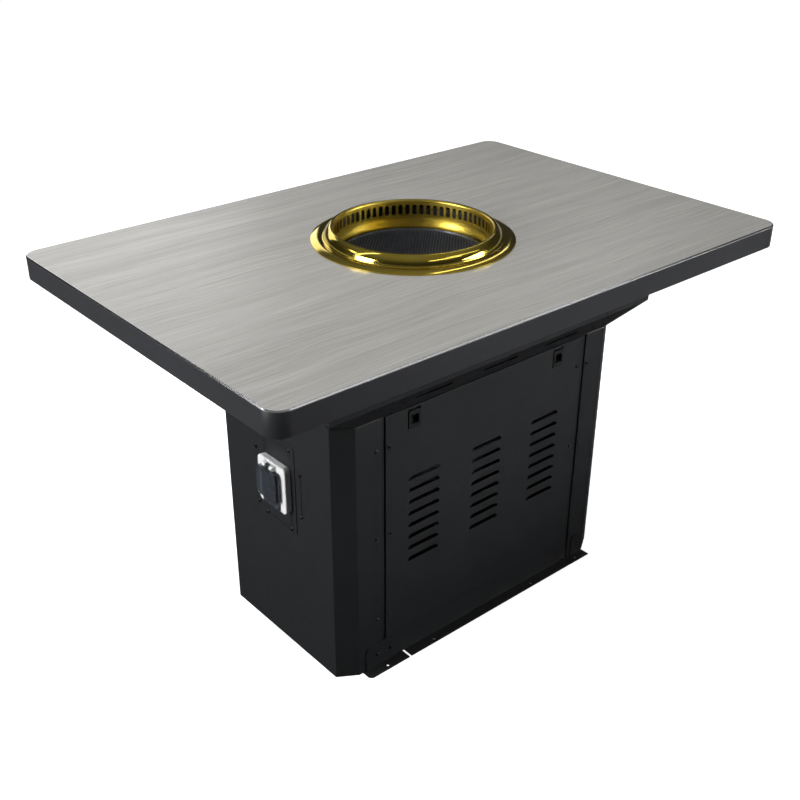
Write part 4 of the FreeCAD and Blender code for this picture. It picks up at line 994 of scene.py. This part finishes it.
@dataclass
class Screws:
    """Cross-recessed pan-head screws in the places of the plain ones."""

    head: float = 0.0042
    rise: float = 0.0020
    shank: float = 0.0020
    length: float = 0.009
    recess: float = 0.0030
    recess_width: float = 0.0008
    middle: float = 0.004
    column_half: float = 0.2745
    panel_half: float = 0.2455
    heights: tuple[float, float, float] = (0.111, 0.2965, 0.482)
    foot_places: tuple[float, float, float] = (-0.272, -0.241, 0.304)
    foot_height: float = 0.030
    foot_sheet: float = 0.002
    front: float = -0.216
    back: float = 0.163
    end: float = -0.354
    plate: float = -0.3555
    plate_middle: Pair = (-0.032, 0.367)
    plate_half: Pair = (0.039, 0.085)
    end_places: tuple[Pair, ...] = ((-0.101, 0.323), (-0.101, 0.413), (0.037, 0.292), (0.037, 0.413))

    def master(self) -> Object:
        """One screw at the origin that looks along +Z.

        Returns:
            The screw.
        """
        bpy.ops.mesh.primitive_cylinder_add(vertices=28, radius=self.head, depth=self.rise,
                                            location=(0, 0, self.rise / 2))
        screw = Workbench.fresh("screw_master")
        bpy.ops.object.mode_set(mode="EDIT")
        Workbench.pick(screw, lambda co: co.z > self.rise * 0.99, "EDGE")
        bpy.ops.mesh.bevel(offset=self.rise * 0.75, segments=5, profile=0.6)
        Workbench.pick(screw, lambda co: co.z < 1e-7, "FACE")
        bpy.ops.mesh.inset(thickness=self.head - self.shank)
        bpy.ops.mesh.extrude_region_move(TRANSFORM_OT_translate={"value": (0, 0, -self.length)})
        bpy.ops.object.mode_set(mode="OBJECT")
        for turn in (0.0, math.pi / 2):
            bpy.ops.mesh.primitive_cube_add(size=1, location=(0, 0, self.rise),
                                            rotation=(0, 0, turn + math.pi / 5),
                                            scale=(self.recess * 1.6, self.recess_width, self.rise))
            Workbench.cut(screw, Workbench.fresh("recess_cutter"))
        Workbench.outward(screw, 40.0)
        return screw

    def group(self, master: Object, node: str, body: Body, places: Iterable[Point],
              facing: Facing, finish: Material) -> Object:
        """Copies of the screw in one group's places.

        Args:
            master: the screw to copy.
            node: the group of plain screws that the copies stand for.
            body: what the group rides on.
            places: the seats of the heads.
            facing: the way the heads look.
            finish: the screws' material.

        Returns:
            The group.
        """
        turn = Vector(facing.value).to_track_quat("Z", "Y").to_matrix().to_4x4()
        copies = []
        for index, place in enumerate(places):
            copy = bpy.data.objects.new(f"{node}_{index}", master.data.copy())
            bpy.context.scene.collection.objects.link(copy)
            spin = Matrix.Rotation(0.7 * index, 4, "Z")
            copy.data.transform(Matrix.Translation(place) @ turn @ spin)
            copies.append(copy)
        made = Workbench.join(copies, f"{node}_recessed")
        Workbench.paint(made, finish)
        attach(made, body.value)
        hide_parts(node)
        return made

    def build(self, finish: Material) -> list[Object]:
        """Make every group of screws.

        Args:
            finish: the screws' material.

        Returns:
            The groups.
        """
        master = self.master()
        sides = (-1, 1)
        columns = [(self.middle + side * self.column_half, z) for side in sides for z in self.heights]
        panel = [(self.middle + side * self.panel_half, z) for side in sides for z in self.heights]
        (across, up), (half_across, half_up) = self.plate_middle, self.plate_half
        corners = [(across + a * half_across, up + b * half_up) for a in sides for b in sides]
        feet = [(x, self.front - self.foot_sheet, self.foot_height) for x in self.foot_places]
        groups = [
            ("column_screws", Body.TABLE, [(x, self.front, z) for x, z in columns], Facing.FRONT),
            ("panel_screws", Body.PANEL, [(x, self.front, z) for x, z in panel], Facing.FRONT),
            ("rear_panel_screws", Body.TABLE, [(x, self.back, z) for x, z in columns], Facing.REAR),
            ("foot_screws", Body.TABLE, feet, Facing.FRONT),
            ("access_plate_screws", Body.TABLE, [(self.plate, y, z) for y, z in corners], Facing.LEFT),
            ("end_shell_screws", Body.TABLE, [(self.end, y, z) for y, z in self.end_places], Facing.LEFT),
        ]
        made = [self.group(master, node, body, places, facing, finish)
                for node, body, places, facing in groups]
        bpy.data.objects.remove(master)
        return made


@dataclass(frozen=True)
class Lamp:
    """A rectangular soft light.

    Attributes:
        name: the light's name.
        place: where it hangs.
        aim: the point it looks at.
        size: its width and height.
        power: its power in watts.
        reach: whether it fills, is mirrored in gloss, or both.
        spread: the angle that it shines over, in degrees.
    """

    name: str
    place: Point
    aim: Point
    size: Pair
    power: float
    reach: Reach = Reach.BOTH
    spread: float = 180.0

    def hang(self) -> None:
        """Add the light to the scene."""
        lamp = bpy.data.lights.new(self.name, "AREA")
        lamp.shape = "RECTANGLE"
        lamp.size, lamp.size_y = self.size
        lamp.energy = self.power
        lamp.spread = math.radians(self.spread)
        item = Workbench.aimed(self.name, lamp, self.place, Vector(self.aim) - Vector(self.place))
        item.visible_glossy = self.reach is not Reach.FILL
        item.visible_diffuse = self.reach is not Reach.GLOSS
        item.visible_camera = False


TOP_MIDDLE: Point = (0, 0, 0.75)
LAMPS: tuple[Lamp, ...] = (
    Lamp("overhead", (-0.4, 0.3, 3.2), (-0.2, 0.05, 0.7), (2.6, 2.3), 135, Reach.FILL),
    Lamp("rear_left", (0.5, 3.5, 1.9), (-0.4, 0.1, 0.75), (2.4, 1.3), 20),
    Lamp("front_left", (-3.2, 0.7, 1.3), (0, 0, 0.42), (1.4, 1.4), 20, spread=62),
    Lamp("front_right", (2.6, -2.8, 1.3), (-0.3, -0.2, 1.1), (1.5, 1.2), 10.5, spread=40),
    Lamp("front_panel", (1.8, -3.2, 1.2), (0.15, -0.2, 0.36), (1.2, 0.3), 1.3, spread=16),
    Lamp("strip_left", (-1.6, 0.8, 2.4), TOP_MIDDLE, (0.1, 2.0), 4.5, Reach.GLOSS),
    Lamp("strip_right", (1.6, 0.9, 2.6), TOP_MIDDLE, (0.1, 2.0), 2.5, Reach.GLOSS),
    Lamp("strip_front", (0.2, -2.2, 2.6), TOP_MIDDLE, (2.0, 0.1), 4.5, Reach.GLOSS),
    Lamp("strip_trim", (1.4, -1.62, 2.42), (1.4, -0.4, 0.75), (2.2, 0.12), 2.4, Reach.GLOSS),
    Lamp("strip_corner", (-1.82, 1.45, 2.16), (-0.6, 0.2, 0.75), (0.5, 0.2), 2.0, Reach.GLOSS),
)


@dataclass
class Studio:
    """Pale floor, soft lights and the camera."""

    camera_place: Point = (-1.3168, -1.4892, 1.4686)
    yaw: float = 40.1875
    pitch: float = 29.2034
    focal_pixels: float = 1106.8
    centre_x: float = 389.1
    centre_y: float = 419.3
    frame_pixels: float = 800.0
    sensor: float = 36.0
    clip: Pair = (0.05, 100.0)
    floor_size: float = 60.0
    floor_scale: float = 0.6
    floor_roughness: float = 0.8
    floor_specular: float = 0.1
    floor_glow: float = 0.93
    pale_tones: Pair = (0.46, 0.50)
    dim_tones: Pair = (0.030, 0.040)
    # Box of the pedestal's foot, where the floor's glow is cut out as painted shade.
    painted_shade_middle: Pair = (0.047, -0.060)
    painted_shade_half: Pair = (0.247, 0.177)
    sky_heights: Pair = (0.3, 0.95)
    sky_levels: Pair = (0.05, 0.30)

    def floor(self) -> None:
        """A wide pale floor that glows evenly for the camera; under the pedestal's foot the glow is cut out
        as painted shade.
        """
        bpy.ops.mesh.primitive_plane_add(size=self.floor_size, location=(0, 0, 0))
        floor = Workbench.fresh("studio_floor")
        made = bpy.data.materials.new("pale_floor")
        made.use_nodes = True
        pen = Sockets(made.node_tree)
        out = pen.node("ShaderNodeOutputMaterial")
        place = pen.node("ShaderNodeTexCoord").outputs["Object"]
        share = pen.noise(place, self.floor_scale, 2.0)
        # Painted shade: inside the box of the pedestal's foot the floor's glow is set to nothing, so floor
        # seen through the flange holes is dark.
        outside_painted_shade = [pen.maths("GREATER_THAN", pen.maths("ABSOLUTE", pen.maths("SUBTRACT", at, middle)), half)
                  for at, middle, half in zip(pen.split(place), self.painted_shade_middle, self.painted_shade_half)]
        glow = pen.maths("MULTIPLY", pen.maths("MAXIMUM", *outside_painted_shade), self.floor_glow)
        pen.to_camera(out, self.matt(pen, share, self.dim_tones, 0.0),
                      self.matt(pen, share, self.pale_tones, glow))
        floor.data.materials.append(made)

    def matt(self, pen: Sockets, share: object, tones: Pair, glow: object) -> Node:
        """A matt grey shader.

        Args:
            pen: the material's pen.
            share: how much of the second tone there is.
            tones: the two grey tones.
            glow: how strongly the surface shines by itself, as a value or an output.

        Returns:
            The shader.
        """
        first, second = [(tone, tone, tone) for tone in tones]
        return pen.node("ShaderNodeBsdfPrincipled", {
            "Base Color": pen.mix(share, first, second), "Roughness": self.floor_roughness,
            "Specular IOR Level": self.floor_specular, "Emission Color": (1.0, 1.0, 1.0),
            "Emission Strength": glow})

    def world(self) -> None:
        """A white surround that is darker near the horizon in reflections."""
        world = bpy.data.worlds.new("studio_world")
        bpy.context.scene.world = world
        world.use_nodes = True
        pen = Sockets(world.node_tree)
        out = pen.node("ShaderNodeOutputWorld")
        up = pen.split(pen.node("ShaderNodeTexCoord").outputs["Generated"])[2]
        soft = pen.node("ShaderNodeBackground", {
            "Strength": pen.ramp(up, *self.sky_heights, *self.sky_levels)})
        plain = pen.node("ShaderNodeBackground", {"Color": (1.0, 1.0, 1.0)})
        pen.to_camera(out, soft, plain)

    def camera(self) -> None:
        """The photograph's viewpoint."""
        view = bpy.data.cameras.new("camera")
        view.sensor_width = self.sensor
        view.lens = self.focal_pixels / self.frame_pixels * self.sensor
        view.shift_x = (self.frame_pixels / 2 - self.centre_x) / self.frame_pixels
        view.shift_y = (self.centre_y - self.frame_pixels / 2) / self.frame_pixels
        view.clip_start, view.clip_end = self.clip
        yaw, pitch = math.radians(self.yaw), math.radians(self.pitch)
        ahead = Vector((math.sin(yaw) * math.cos(pitch), math.cos(yaw) * math.cos(pitch), -math.sin(pitch)))
        bpy.context.scene.camera = Workbench.aimed("camera", view, self.camera_place, ahead)

    def build(self) -> None:
        """Set up the whole studio."""
        bpy.context.scene.view_settings.view_transform = "Standard"
        self.floor()
        self.world()
        self.camera()
        for lamp in LAMPS:
            lamp.hang()


@dataclass
class BarbecueTable:
    """The whole table: finishes on its parts, and its finer pieces."""

    nodes: dict[str, Object]
    effects: Effects
    ring: GrillRing = field(default_factory=GrillRing)
    mesh: GrillMesh = field(default_factory=GrillMesh)
    screws: Screws = field(default_factory=Screws)
    softener: Softener = field(default_factory=Softener)

    def build(self) -> None:
        """Dress every part and add the finer pieces."""
        made = {key: finish.make(self.effects) for key, finish in FINISHES.items()}
        for key, names in NODE_FINISHES.items():
            for name in names:
                node = self.nodes[name]
                Workbench.paint(node, made[key])
                self.softener.soften(node, key)
                LOG.info("%s: %s", name, FINISHES[key].name)
        LOG.info("ring: %s", self.ring.build(made["gold"]).name)
        LOG.info("mesh: %s", self.mesh.build(made["wire"]).name)
        for group in self.screws.build(made["screw"]):
            LOG.info("screws: %s", group.name)


def main() -> None:
    """Build the studio and dress the table."""
    logging.basicConfig(level=logging.INFO, format="%(message)s")
    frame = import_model()
    Workbench.clear()
    Studio().build()
    BarbecueTable(frame["nodes"], Effects()).build()
    Workbench.clear()


if __name__ == "__main__":
    main()
